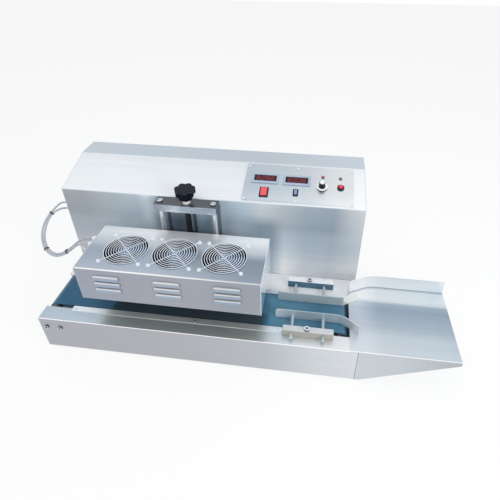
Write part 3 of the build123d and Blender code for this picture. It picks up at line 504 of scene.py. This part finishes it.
def finish_base():
    """The base's front cover, deck, floor plate and belt bed, and the strips beside the belt."""
    front = brushed("brushed_front_channel", WHITE, 0.34, metal=0.72)
    # painted reflection on the upright front, lighter from left to right
    front.along("x", (
        (0, tone(174, 175, 181)),
        (420, tone(179, 180, 184)),
        (620, tone(184, 188, 194)),
        (740, tone(204, 208, 212)),
        (861, tone(213, 216, 219)),
    ), ("y", 0.7, 0.2))
    # painted reflection of the sealing head on the flange on top: darker and greener towards the
    # left, paler right of the head
    front.along("x", (
        (0, tone(178, 193, 206)),
        (140, tone(190, 205, 216)),
        (172, tone(200, 212, 218)),
        (186, tone(196, 208, 206)),
        (550, tone(208, 217, 212)),
        (620, tone(210, 219, 219)),
        (645, tone(214, 224, 231)),
        (861, tone(240, 239, 238)),
    ), ("y", 2.1, 2.9))
    # the right end of the upright front
    front.along("x", (
        (857.6, WHITE),
        (858.4, tone(132, 140, 148)),
        (861, tone(132, 140, 148)),
    ), ("y", 2.9, 0.7))
    front.cover("front_channel")
    brushed("brushed_deck", WHITE, 0.36, metal=0.08).cover("rear_deck")
    brushed("brushed_base_plate", tone(236, 238, 240), 0.3, metal=0.6).cover("base_plate")
    brushed("dark_belt_bed", tone(60, 64, 72), 0.5, metal=0.5).cover("belt_bed")
    strip = brushed("brushed_guide_strip", WHITE, 0.36, grain=(9, 700, 700), metal=0.65)
    # painted shade of the sealing head: the strip darker under it
    strip.along("x", (
        (118, tone(240, 246, 253)),
        (172, tone(238, 244, 250)),
        (196, tone(218, 223, 220)),
        (600, tone(219, 224, 222)),
        (624, tone(238, 246, 253)),
    ))
    strip.cover("belt_guide_strips")


def finish_head():
    """The sealing head's louvred cover and its end plates."""
    head = brushed("brushed_head_sheet", WHITE, 0.3, metal=0.7)
    # painted reflection and highlight: the flat of the front, behind its louvres, darker, and the
    # fold above it white as a highlight
    head.along("y", (
        (20.9, WHITE),
        (21.1, tone(188, 193, 202)),
        (21.5, tone(188, 193, 202)),
        (21.9, WHITE),
        (25, WHITE),
    ))
    # painted reflection on the front with its louvres, lighter from left to right
    head.along("x", (
        (140, tone(223, 226, 233)),
        (300, tone(222, 222, 224)),
        (430, tone(232, 232, 232)),
        (540, tone(250, 250, 250)),
        (611, WHITE),
    ), ("y", 21.9, 21.5))
    # painted light and shade: each louvre's upper shoulder white as lit and its face darker as in
    # shade, with nothing dark above the last row
    face = tone(186, 202, 218)
    shades = ((3.9, face), (5.1, WHITE), (9.0, WHITE), (10.5, face))
    rows = [(middle + above, shade) for middle in LOUVRE_ROWS for above, shade in shades]
    head.along("z", rows[:-2], ("y", 21.1, 20.7))
    # painted reflection on the top, from front to back: white at the fold as a painted highlight,
    # darker in front, lighter at the back
    head.along("y", (
        (24.4, WHITE),
        (26.4, tone(180, 191, 205)),
        (70, tone(167, 179, 194)),
        (105, tone(163, 176, 192)),
        (150, tone(210, 217, 224)),
        (178, tone(250, 252, 253)),
        (198, WHITE),
    ))
    # painted reflection on the front half of the top, darker towards the right
    head.along("x", (
        (140, tone(246, 244, 244)),
        (310, tone(252, 252, 252)),
        (440, tone(240, 240, 240)),
        (540, tone(214, 216, 218)),
        (611, tone(210, 213, 214)),
    ), ("y", 130, 100))
    head.cover("head_shell")
    ends = brushed("polished_head_end", WHITE, 0.13, grain=(900, 6, 900), metal=0.8)
    # painted shade and reflection: the left end plate darker, the right one paler
    ends.along("x", (
        (140, tone(172, 177, 184)),
        (150, tone(172, 177, 184)),
        (600, tone(226, 234, 242)),
        (611, tone(226, 234, 242)),
    ))
    ends.cover("head_end_caps")


def finish_tray():
    """The infeed tray's folded sheet."""
    tray = brushed("brushed_tray_sheet", WHITE, 0.3, grain=(8, 800, 800), metal=0.65)
    # painted reflection on the floor from the front to the side wall, darker in the middle, and on
    # the wall
    tray.along("y", (
        (2.4, WHITE),
        (3.4, tone(214, 221, 228)),
        (60, tone(204, 213, 221)),
        (90, tone(190, 200, 211)),
        (150, tone(186, 197, 209)),
        (171, tone(200, 209, 218)),
        (180, tone(226, 231, 236)),
        (190, tone(240, 243, 246)),
        (226, tone(242, 245, 246)),
        (230.3, tone(252, 254, 255)),
    ))
    # painted reflection in the middle of the floor, away from the base
    tray.along("y", (
        (60, WHITE),
        (105, tone(236, 240, 243)),
        (140, tone(222, 228, 234)),
        (168, tone(218, 225, 232)),
        (178, WHITE),
    ), ("x", 862, 915))
    # painted reflection on the floor and the wall, a little darker to the right
    tray.along("x", (
        (838, WHITE),
        (880, WHITE),
        (925, tone(240, 242, 243)),
        (1060, tone(236, 240, 242)),
        (1108, tone(230, 236, 240)),
    ), ("y", 0.7, 3.4))
    # painted shade on the skirt in front, darker to the right
    tray.along("x", (
        (838, tone(198, 204, 208)),
        (960, tone(192, 198, 203)),
        (1108, tone(170, 177, 182)),
    ), ("y", 0.7, 0.2))
    # painted shade: a dark line along the foot of the wall
    tray.along("z", (
        (112.5, WHITE),
        (112.9, tone(150, 164, 182)),
        (115.2, tone(150, 164, 182)),
        (116.2, WHITE),
    ))
    tray.cover("infeed_tray")


def finish_panel():
    """The control panel's plate."""
    panel = brushed("brushed_panel_sheet", WHITE, 0.3, grain=(10, 900, 900))
    # painted reflection, lighter from left to right
    panel.along("x", (
        (522, tone(198, 209, 220)),
        (600, tone(204, 214, 224)),
        (700, tone(215, 223, 230)),
        (780, tone(234, 239, 242)),
        (828, tone(241, 244, 247)),
    ))
    # painted highlight along its lower edge and a slightly darker painted reflection above it, from
    # its lower edge to its upper
    panel.along("z", (
        (366, WHITE),
        (374, WHITE),
        (384, tone(242, 243, 243)),
        (411, tone(240, 241, 241)),
    ))
    panel.cover("control_panel")


def finish_guides():
    """The two guide rails, the two blocks that hold them, and the blocks' clamp screws."""
    front_rail = brushed("brushed_front_rail", WHITE, 0.4, grain=(9, 900, 900), metal=0.5)
    # painted reflection: the rail white at its left end, darker along its middle and paler at its
    # right end
    front_rail.along("x", (
        (618, tone(255, 255, 255)),
        (634, tone(248, 250, 251)),
        (650, tone(222, 228, 231)),
        (700, tone(186, 200, 207)),
        (815, tone(186, 200, 207)),
        (832, tone(214, 217, 220)),
    ))
    front_rail.cover("front_guide")
    rear_rail = brushed("brushed_rear_rail", WHITE, 0.4, grain=(9, 900, 900), metal=0.5)
    # painted reflection: the rail grey-blue along its length, and its bent right end cream where it
    # mirrors the tray
    rear_rail.along("x", (
        (640, tone(205, 213, 214)),
        (818, tone(205, 213, 214)),
        (824, tone(255, 253, 244)),
        (840, tone(255, 253, 244)),
    ))
    rear_rail.cover("rear_guide")
    block = turned("milled_block", WHITE, 0.16, (40, 900, 900), 0.04)
    block.set(Metallic=0.35)
    # painted reflection on the front block: its front face olive and its top grey
    block.along("y", (
        (27.4, tone(172, 168, 158)),
        (28.2, tone(174, 171, 162)),
        (28.6, tone(202, 208, 212)),
        (46.5, tone(202, 208, 212)),
        (47.5, WHITE),
    ))
    # painted reflection of the blue belt on the rear block's front face
    block.along("y", (
        (204, WHITE),
        (204.9, tone(74, 110, 134)),
        (205.6, tone(80, 116, 140)),
        (206.1, WHITE),
        (224, WHITE),
    ))
    block.cover("guide_blocks")
    clamp = turned("clamp_screw_steel", WHITE, 0.2, (800, 800, 800))
    # painted shade and highlight: each clamp screw's head dark in its socket and round its side,
    # bright on top
    clamp.along("z", (
        (132.8, tone(164, 166, 170)),
        (134.5, tone(84, 87, 93)),
        (137.2, tone(96, 99, 105)),
        (137.7, tone(236, 238, 241)),
        (138.4, tone(236, 238, 241)),
    ))
    clamp.cover("front_clamp_screw", "rear_clamp_screw")


def finish_column():
    """The lift column's plates, rods, carriage, bushes and nut."""
    plate = brushed("polished_plate_painted_reflection", WHITE, 0.2, grain=(8, 700, 700), metal=0.72)
    # painted reflection: the plates' tops dark behind their front edges
    plate.along("y", (
        (212.9, WHITE),
        (213.8, WHITE),
        (214.4, tone(88, 94, 100)),
        (254, tone(80, 87, 94)),
    ))
    # painted highlight on the front edges, varied from left to right
    plate.along("x", (
        (286, tone(196, 206, 217)),
        (345, tone(238, 244, 248)),
        (400, tone(222, 232, 242)),
        (464, tone(198, 212, 226)),
    ), ("y", 214.4, 213.8))
    plate.cover("column_plates")
    turned("carriage_steel", tone(150, 154, 160), 0.4, (20, 900, 900)).cover("lift_carriage")
    rods = turned("ground_column", tone(224, 228, 234), 0.14, (400, 400, 1800))
    rods.set(Metallic=0.55).cover("guide_columns")
    # painted shade: the bronze bushes are given a darker colour than their bronze, as they sit in
    # shade
    turned("bronze_painted_shade", tone(112, 96, 72), 0.34, (700, 700, 700)).cover("bronze_bushes")
    nut = turned("nickel_nut", tone(252, 249, 240), 0.3, (800, 800, 800))
    nut.set(Metallic=0.25).cover("knob_nut")


def finish_screws():
    """The frame's screws and bolts."""
    screw = turned("bright_screw", WHITE, 0.16, (800, 800, 800))
    # painted shade: the bolt heads in the base's front cover dark in their recesses and round their
    # sides, paler on their faces
    screw.along("y", (
        (-3.8, tone(196, 201, 206)),
        (-3.0, tone(196, 201, 206)),
        (-2.6, tone(92, 97, 104)),
        (-0.4, tone(92, 97, 104)),
        (0.2, tone(236, 238, 241)),
    ))
    # painted shade: the rods' heads on the lift column's top plate darker in their sockets and round
    # their sides, white on top
    screw.along("z", (
        (363.9, WHITE),
        (364.2, tone(172, 180, 188)),
        (367.6, tone(180, 188, 196)),
        (368.1, WHITE),
    ))
    screw.cover("frame_screws")


def finish_belt():
    """The conveyor belt, with fine lines along it and broad worn patches."""
    belt = Finish("belt_blue", WHITE, 0.0, 0.26)
    lines = belt.noise(1.0, (3, 700, 700), detail=3.0)
    wear = belt.noise(9.0, (0.6, 3, 3), detail=4.0)
    belt.set(Specular_IOR_Level=0.3)
    # its blue, lighter to the right of the sealing head as painted reflection, and a painted
    # highlight: a pale line where it turns down at the left end
    belt.along("x", (
        (11, tone(42, 92, 120)),
        (11.8, tone(150, 196, 220)),
        (13.4, tone(150, 196, 220)),
        (14.4, tone(42, 94, 124)),
        (140, tone(42, 94, 124)),
        (604, tone(72, 124, 150)),
        (626, tone(94, 146, 172)),
        (700, tone(86, 132, 154)),
        (760, tone(68, 112, 136)),
        (840, tone(72, 114, 138)),
    ))
    # painted shade: past that line, where the belt turns down over the roller, it is dark
    belt.along("x", (
        (0, tone(60, 58, 56)),
        (11.2, tone(60, 58, 56)),
        (11.8, WHITE),
        (12, WHITE),
    ))
    # painted reflection and shade of the sealing head: the front of the belt under it dark
    belt.along("x", (
        (184, WHITE),
        (190, tone(255, 176, 158)),
        (560, tone(236, 160, 146)),
        (604, tone(226, 166, 152)),
        (612, tone(180, 200, 206)),
        (622, tone(212, 222, 228)),
        (627, WHITE),
    ), ("y", 104, 90))
    belt.mottle(lines, 0.92, 1.06).mottle(wear, 0.95, 1.05).dull(wear, 0.06)
    belt.relief(lines, 0.12, 0.0003).cover("conveyor_belt")


def finish_drive():
    """The rollers, pulleys, drive belt, motor and bearings in the base, and the feet under it."""
    turned("idler_shaft_steel", tone(236, 238, 241), 0.16, (800, 800, 800)).cover("idler_shaft")
    rollers = turned("roller_steel", tone(170, 174, 178), 0.3, (900, 30, 900))
    rollers.cover("drive_roller", "idler_roller")
    pulleys = turned("pulley_aluminium", tone(196, 200, 204), 0.3, (900, 900, 900))
    pulleys.cover("roller_pulley", "motor_pulley")
    turned("bracket_steel", tone(188, 190, 192), 0.38, (20, 700, 700)).cover("motor_bracket")
    moulded("foot_rubber", tone(34, 34, 35), 0.75, 500, 0.2).cover("rubber_feet", "timing_belt")
    moulded("bearing_black", tone(30, 30, 32), 0.45, 400, 0.1).cover("shaft_bearings")
    moulded("motor_enamel", tone(62, 66, 70), 0.35, 250, 0.15).cover("gear_motor")


def finish_electrics():
    """The power module, the induction coil and its plate, the mains inlet and the glands."""
    heat_sink = turned("heat_sink_aluminium", tone(190, 194, 198), 0.35, (600, 600, 600))
    heat_sink.cover("power_module")
    turned("varnished_copper", tone(62, 44, 38), 0.34, (300, 300, 300)).cover("induction_coil")
    moulded("coil_plate_black", tone(40, 40, 42), 0.5, 350, 0.12).cover("coil_plate")
    moulded("inlet_black", tone(28, 28, 30), 0.4).cover("mains_inlet")
    glands = moulded("gland_nylon", tone(252, 252, 250), 0.42, 600, 0.06)
    glands.cover("cabinet_glands", "head_glands")


def finish_fans():
    """The fans' wire guards, screws, frames and rotors."""
    guards = turned("chromed_wire", tone(242, 249, 255), 0.14, (300, 300, 300), 0.02)
    guards.set(Metallic=0.05).cover("fan_guards")
    screws = turned("guard_screw_steel", tone(238, 242, 247), 0.2, (800, 800, 800))
    screws.set(Metallic=0.35).cover("fan_screws")
    frames = moulded("fan_black", tone(7, 9, 12), 0.5, 500, 0.1)
    frames.set(Specular_IOR_Level=0.1).cover("fan_frames")
    rotors = moulded("rotor_grey", tone(92, 112, 146), 0.3)
    rotors.set(Metallic=0.5, Specular_IOR_Level=0.3)
    rotors.cover("fan_rotor_left", "fan_rotor_middle", "fan_rotor_right")


def finish_meters():
    """The two panel meters' cases and windows."""
    moulded("meter_case", tone(167, 180, 198), 0.42).cover("meter_bezels")
    window = moulded("meter_window_red", tone(34, 12, 22), 0.2, 300, 0.02)
    window.set(Specular_IOR_Level=0.3).cover("meter_windows")


def finish_controls():
    """The switches, the push button, the speed knob and its dial, the lamps and the star knob."""
    switch = moulded("switch_black", WHITE, 0.4)
    switch.set(Specular_IOR_Level=0.3)
    # a painted highlight: a paler line round the upper edge of each bezel
    switch.along("off_panel", (
        (2.0, tone(24, 26, 36)),
        (3.7, tone(24, 26, 36)),
        (3.9, tone(112, 116, 126)),
        (4.1, tone(112, 116, 126)),
        (4.3, tone(24, 26, 36)),
    ))
    switch.cover("panel_bezels")
    moulded("rocker_grey", tone(128, 154, 186), 0.3).cover("mode_rocker")
    knob = moulded("knob_bakelite", WHITE, 0.34, 200, 0.03)
    knob.set(Specular_IOR_Level=0.12)
    # the star knob is black, with a painted highlight: a paler line round its upper edge
    knob.along("z", (
        (376, tone(9, 14, 24)),
        (407.8, tone(9, 14, 24)),
        (408.6, tone(66, 78, 96)),
        (409.4, tone(66, 78, 96)),
        (410.4, tone(11, 17, 28)),
        (411, tone(11, 17, 28)),
    ))
    knob.cover("star_knob")
    rocker = moulded("rocker_red", tone(232, 72, 90), 0.25, 500, 0.03)
    rocker.set(Coat_Weight=0.3, Coat_Roughness=0.1).cover("power_rocker")
    moulded("button_red", tone(224, 58, 74), 0.25, 400, 0.03).cover("push_button")
    dial = moulded("dial_silver", WHITE, 0.3, 700, 0.04)
    # painted shade: the dial's side dark, and its face silver
    dial.along("off_panel", (
        (2.0, tone(16, 18, 24)),
        (4.7, tone(18, 20, 27)),
        (4.9, WHITE),
        (5.1, WHITE),
    ))
    dial.cover("speed_dial")
    lens = moulded("lamp_lens_red", WHITE, 0.12, 300, 0.02)
    lens.set(Coat_Weight=0.5, Coat_Roughness=0.05)
    # the left lamp is red and the right one a duller purple
    lens.along("x", (
        (736, tone(204, 52, 72)),
        (760, tone(204, 52, 72)),
        (772, tone(150, 100, 128)),
        (797, tone(150, 100, 128)),
    ))
    lens.cover("indicator_lamps")
    pointer = moulded("speed_knob_black", WHITE, 0.35)
    pointer.set(Specular_IOR_Level=0.3)
    # the speed knob is black with a silver cap
    pointer.along("off_panel", (
        (2.0, tone(20, 22, 30)),
        (22.1, tone(24, 26, 34)),
        (22.4, tone(240, 242, 245)),
        (23.4, tone(240, 242, 245)),
    ))
    pointer.cover("speed_knob")


# ================================================================================
# Shapes
# ================================================================================
def surface(name, points, material, around=True, ends=True):
    """A mesh from a grid of points, a row for each step along it: neighbours in the grid share a
    four-sided face, rows close on themselves where around is set, and the end rows get caps."""
    rows, columns = points.shape[:2]
    row = np.arange(rows - 1)[:, None]
    column = np.arange(columns if around else columns - 1)[None, :]
    after = (column + 1) % columns
    corners = (row * columns + column, row * columns + after,
               (row + 1) * columns + after, (row + 1) * columns + column)
    faces = np.stack(np.broadcast_arrays(*corners), axis=-1).reshape(-1, 4).tolist()
    if ends:
        faces.append(np.arange(columns)[::-1].tolist())
        faces.append((np.arange(columns) + (rows - 1) * columns).tolist())
    mesh = bpy.data.meshes.new(name)
    mesh.from_pydata(points.reshape(-1, 3).tolist(), [], faces)
    mesh.materials.append(material)
    mesh.shade_smooth()
    piece = bpy.data.objects.new(name, mesh)
    bpy.context.scene.collection.objects.link(piece)
    return piece


def directions(line):
    """The direction of travel at each point of a line, from its neighbours, as unit vectors."""
    run = np.gradient(line, axis=0)
    return run / np.linalg.norm(run, axis=1, keepdims=True)


def sideways(travel):
    """Two unit vectors across each direction of travel: one level, and one square to both."""
    level = np.cross(travel, (0.0, 0.0, 1.0))
    level = level / np.linalg.norm(level, axis=1, keepdims=True)
    return level, np.cross(level, travel)


def round_angles(sides):
    """Equal steps of angle once round, without the last, which is the first again."""
    return np.linspace(0, 2 * np.pi, sides, endpoint=False)


def tube(name, line, radius, material):
    """A round tube along a line: point (s, a) is the line at s plus the radius times cos a along
    the level side and sin a along the other."""
    level, over = sideways(directions(line))
    angle = round_angles(CABLE_SIDES)[None, :, None]
    ring = np.cos(angle) * level[:, None] + np.sin(angle) * over[:, None]
    return surface(name, line[:, None] + radius * ring, material)


def smooth_line(name, route):
    """Points along the smooth line that a route's points steer, a NURBS of third order."""
    curve = bpy.data.curves.new(name, "CURVE")
    curve.dimensions = "3D"
    spline = curve.splines.new("NURBS")
    spline.points.add(len(route) - 1)
    places = np.hstack([grid_at(*np.array(route).T), np.ones((len(route), 1))])
    spline.points.foreach_set("co", places.ravel())
    spline.order_u = 3
    spline.use_endpoint_u = True
    spline.resolution_u = LINE_STEPS
    carrier = bpy.data.objects.new(name, curve)
    mesh = bpy.data.meshes.new_from_object(carrier)
    line = np.empty(len(mesh.vertices) * 3)
    mesh.vertices.foreach_get("co", line)
    bpy.data.objects.remove(carrier)
    bpy.data.curves.remove(curve)
    bpy.data.meshes.remove(mesh)
    return line.reshape(-1, 3)


def part_way(line, share):
    """The number of the first point of a line with at least a share of its length behind it."""
    steps = np.linalg.norm(np.diff(line, axis=0), axis=1)
    travelled = np.concatenate([[0.0], np.cumsum(steps)])
    return int(np.searchsorted(travelled, share * travelled[-1]))


def squared(wave, power):
    """A cosine or sine nearer to a square wave: its size to a power under one, its own sign."""
    return np.sign(wave) * np.abs(wave) ** power


# ================================================================================
# Cables and their ties
# ================================================================================
def make_tie(name, outer, inner, shares, material):
    """A cable tie: a flat band round both cables, and its locking head.

    The band's middle line is the two cables' outline: half a circle round each and a straight run
    between. Its section, carried along that line, is a rounded oblong: cos a and sin a of its half
    sizes, each made nearer to a square wave. The head is four such oblongs, one over another."""
    spot_outer, spot_inner = part_way(outer, shares[0]), part_way(inner, shares[1])
    start, end = outer[spot_outer], inner[spot_inner]
    travel = directions(outer)[spot_outer] + directions(inner)[spot_inner]
    travel = travel / np.linalg.norm(travel)
    apart = end - start
    apart = apart - travel * (apart @ travel)
    reach = np.linalg.norm(apart)
    across = apart / reach
    outward = np.cross(travel, across)
    radius = (CABLE_RADIUS + TIE_CLEAR) / 1000
    angle = round_angles(TIE_SIDES)

    turn = np.linspace(0, np.pi, BAND_STEPS)
    half_round = np.stack([np.sin(turn), np.cos(turn)], axis=1)
    facing = np.concatenate([half_round, -half_round])
    loop = np.repeat([(reach, 0.0), (0.0, 0.0)], BAND_STEPS, axis=0) + radius * facing
    thick = TIE_HALF_THICK / 1000 * squared(np.cos(angle), BAND_SQUARE)
    wide = TIE_HALF_WIDE / 1000 * squared(np.sin(angle), BAND_SQUARE)
    flat = loop[:, None] + thick[None, :, None] * facing[:, None]
    points = (start + flat[..., :1] * across + flat[..., 1:] * outward
              + wide[None, :, None] * travel)
    points = np.concatenate([points, points[:1]])
    band = surface(name, points, material, ends=False)

    top = start + across * (reach / 2) + outward * (radius + LOCK_OFF / 1000)
    height = np.array(LOCK_HEIGHTS)[:, None, None] / 1000
    width = np.array(LOCK_WIDTHS)[:, None, None] / 1000
    along_line = LOCK_HALF_LONG * squared(np.cos(angle), LOCK_SQUARE)[None, :, None]
    along_cable = LOCK_HALF_WIDE * squared(np.sin(angle), LOCK_SQUARE)[None, :, None]
    rings = top + height * outward + width * (along_line * across + along_cable * travel)
    head = surface(f"{name}_head", rings, material)
    return [band, head]


def make_cables():
    """Two round sheathed cables from the cabinet's glands to the head's, bound by three ties."""
    sheath = Finish("cable_sheath", tone(184, 188, 197), 0.0, 0.3)
    sheen = sheath.noise(30.0)
    sheath.mottle(sheen, 0.98, 1.01).dull(sheen, 0.03)
    nylon = moulded("tie_nylon", tone(58, 60, 66), 0.4, 900, 0.05)
    outer = smooth_line("outer_line", OUTER_ROUTE)
    inner = smooth_line("inner_line", INNER_ROUTE)
    radius = CABLE_RADIUS / 1000
    cables = [
        tube("outer_cable", outer, radius, sheath.material),
        tube("inner_cable", inner, radius, sheath.material),
    ]
    ties = [
        piece
        for number, shares in enumerate(TIE_PLACES, 1)
        for piece in make_tie(f"tie_{number}", outer, inner, shares, nylon.material)
    ]
    for piece in cables + ties:
        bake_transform(piece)
    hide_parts("cable_outer")
    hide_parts("cable_inner")
    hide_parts("cable_ties")


# ================================================================================
# The lift screw
# ================================================================================
def about_screw(height, radius):
    """Places round the lift screw's axis: point (z, a) stands the radius times cos a and sin a
    from the axis, at the height."""
    angle = round_angles(SCREW_SIDES)
    return grid_at(SCREW_X + radius * np.cos(angle), COLUMN_Y + radius * np.sin(angle), height)


def make_lift_screw():
    """The threaded length of the lift screw, and the plain bar that runs through it.

    At height z and angle a the thread's radius is its crest less its depth times a groove, which
    follows a flat-topped wave of z over the pitch less a over a turn. The bar is its profile, a
    line of heights and radii, turned about the axis."""
    height = np.linspace(THREAD_FOOT, THREAD_TOP, THREAD_STEPS)[:, None]
    wave = np.cos(2 * np.pi * height / THREAD_PITCH - round_angles(SCREW_SIDES))
    groove = np.clip(0.5 - THREAD_STEEP * wave, 0.0, 1.0)
    groove[[0, -1]] = 1.0
    steel = turned("threaded_steel", tone(62, 62, 66), 0.3, (500, 500, 900))
    thread = surface("lift_screw_thread", about_screw(height, THREAD_CREST - THREAD_DEPTH * groove),
                     steel.material)
    profile = np.array(JOURNAL)
    journal = surface("lift_screw_journal", about_screw(profile[:, :1], profile[:, 1:]),
                      steel.material)
    for piece in (thread, journal):
        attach(piece, "lift_screw")
    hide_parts("lead_screw")


# ================================================================================
# The panel's figures and marks
# ================================================================================
def on_panel(x, t, height):
    """Places in the scene from arrays of millimetres along the panel, up it, and off the slope."""
    level, rise = math.cos(SLOPE_ANGLE), math.sin(SLOPE_ANGLE)
    return grid_at(x, CABINET_FRONT + t * level - height * rise,
                   SLOPE_FOOT_Z + t * rise + height * level)


def plates(name, outlines, low, high, material):
    """Flat marks standing on the panel: each outline, a ring of x and t, raised between two
    heights, faced on top, round its edge and below."""
    count, corners = outlines.shape[:2]
    bottom = on_panel(outlines[..., 0], outlines[..., 1], low)
    top = on_panel(outlines[..., 0], outlines[..., 1], high)
    points = np.stack([bottom, top], axis=1).reshape(-1, 3)
    first = np.arange(count)[:, None] * 2 * corners
    here = np.arange(corners)[None, :]
    after = (here + 1) % corners
    sides = np.stack([first + here, first + after, first + corners + after,
                      first + corners + here], axis=-1).reshape(-1, 4)
    caps = (first + corners + here).tolist()
    floors = (first + here[:, ::-1]).tolist()
    mesh = bpy.data.meshes.new(name)
    mesh.from_pydata(points.tolist(), [], sides.tolist() + caps + floors)
    mesh.materials.append(material)
    piece = bpy.data.objects.new(name, mesh)
    bpy.context.scene.collection.objects.link(piece)
    return piece


# each bar of a figure: its middle, in widths along and half heights up, and whether it stands
SEGMENTS = {
    "top": ((0.5, 2.0), 0), "middle": ((0.5, 1.0), 0), "bottom": ((0.5, 0.0), 0),
    "upper_left": ((0.0, 1.5), 1), "upper_right": ((1.0, 1.5), 1),
    "lower_left": ((0.0, 0.5), 1), "lower_right": ((1.0, 0.5), 1),
}
# the bars that each figure lights
FIGURES = {
    "0": ("top", "bottom", "upper_left", "upper_right", "lower_left", "lower_right"),
    "2": ("top", "middle", "bottom", "upper_right", "lower_left"),
    "8": tuple(SEGMENTS),
}


def figure_bars(text, centre):
    """The six-cornered bars of a row of leaning seven-bar figures, as rings of x and t."""
    half, thick = BAR_HALF_LONG, BAR_HALF_THICK
    lying = np.array([(-half, 0), (-half + thick, thick), (half - thick, thick), (half, 0),
                      (half - thick, -thick), (-half + thick, -thick)])
    bars = []
    for place, letter in enumerate(text):
        middle = centre[0] + (place - (len(text) - 1) / 2) * FIGURE_PITCH
        for segment in FIGURES[letter]:
            (along, up), stands = SEGMENTS[segment]
            ring = lying[:, ::-1] * (1, -1) if stands else lying
            unit = ring + (along - 0.5, up - 1.0)
            t = unit[:, 1] * FIGURE_HEIGHT / 2
            x = unit[:, 0] * FIGURE_WIDTH + t * FIGURE_LEAN
            bars.append(np.stack([middle + x, centre[1] + t], axis=1))
    return np.array(bars)


def make_panel_marks():
    """The lit figures of the two meters, and the marks round the speed dial.

    A dial mark's corners are the dial's centre plus a near or far reach along its spoke, and half
    the mark's width to either side."""
    glow = Finish("figure_red", tone(200, 62, 80), 0.0, 0.4)
    glow.set(Emission_Color=(*tone(230, 60, 70), 1.0), Emission_Strength=0.12)
    glow.mottle(glow.noise(400.0), 0.9, 1.05)
    window = PANEL_THICK + WINDOW_HIGH
    for name, text, centre in METERS:
        piece = plates(name, figure_bars(text, centre), window + MARK_GAP, window + FIGURE_PROUD,
                       glow.material)
        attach(piece, "base")
    ink = moulded("dial_ink", tone(40, 42, 48), 0.5, 500, 0.02)
    turn = np.radians(np.linspace(DIAL_FIRST, DIAL_LAST, DIAL_MARKS))[:, None]
    spoke = np.stack([np.cos(turn), np.sin(turn)], axis=-1)
    side = np.stack([-np.sin(turn), np.cos(turn)], axis=-1)
    reach = np.array([MARK_NEAR, MARK_FAR, MARK_FAR, MARK_NEAR])[None, :, None]
    half = np.array([-MARK_HALF, -MARK_HALF, MARK_HALF, MARK_HALF])[None, :, None]
    marks = np.array(DIAL_CENTRE) + spoke * reach + side * half
    dial = PANEL_THICK + DIAL_THICK
    scale = plates("dial_scale", marks, dial + MARK_GAP, dial + INK_PROUD, ink.material)
    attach(scale, "base")


# ================================================================================
# The floor
# ================================================================================
def lay_floor():
    """A wide pale floor under the feet, its corners far from the machine."""
    edge = np.array([-FLOOR_REACH, FLOOR_REACH])
    points = np.stack(np.broadcast_arrays(edge[:, None], edge[None, :], 0.0), axis=-1)
    cloth = Finish("floor_white", (0.93, 0.93, 0.93), 0.0, 0.9)
    cloth.mottle(cloth.noise(3.0), 0.995, 1.0)
    tree = cloth.tree
    glow = tree.nodes.new("ShaderNodeEmission")
    glow.inputs["Color"].default_value = (*WHITE, 1.0)
    share = tree.nodes.new("ShaderNodeMath")
    share.operation = "MULTIPLY"
    share.inputs[1].default_value = FLOOR_GLOW
    mix = tree.nodes.new("ShaderNodeMixShader")
    tree.links.new(seen_directly(tree), share.inputs[0])
    tree.links.new(share.outputs[0], mix.inputs["Fac"])
    tree.links.new(cloth.shader.outputs[0], mix.inputs[1])
    tree.links.new(glow.outputs[0], mix.inputs[2])
    tree.links.new(mix.outputs[0], tree.nodes["Material Output"].inputs["Surface"])
    floor = surface("floor", points, cloth.material, around=False, ends=False)


# ================================================================================
# The whole machine
# ================================================================================
bpy.context.scene.view_settings.view_transform = "Standard"
stand_camera()
light_room()
make_cables()
finish_cabinet()
finish_base()
finish_head()
finish_tray()
finish_panel()
finish_guides()
finish_column()
finish_screws()
finish_belt()
finish_drive()
finish_electrics()
finish_fans()
finish_meters()
finish_controls()
make_lift_screw()
make_panel_marks()
lay_floor()
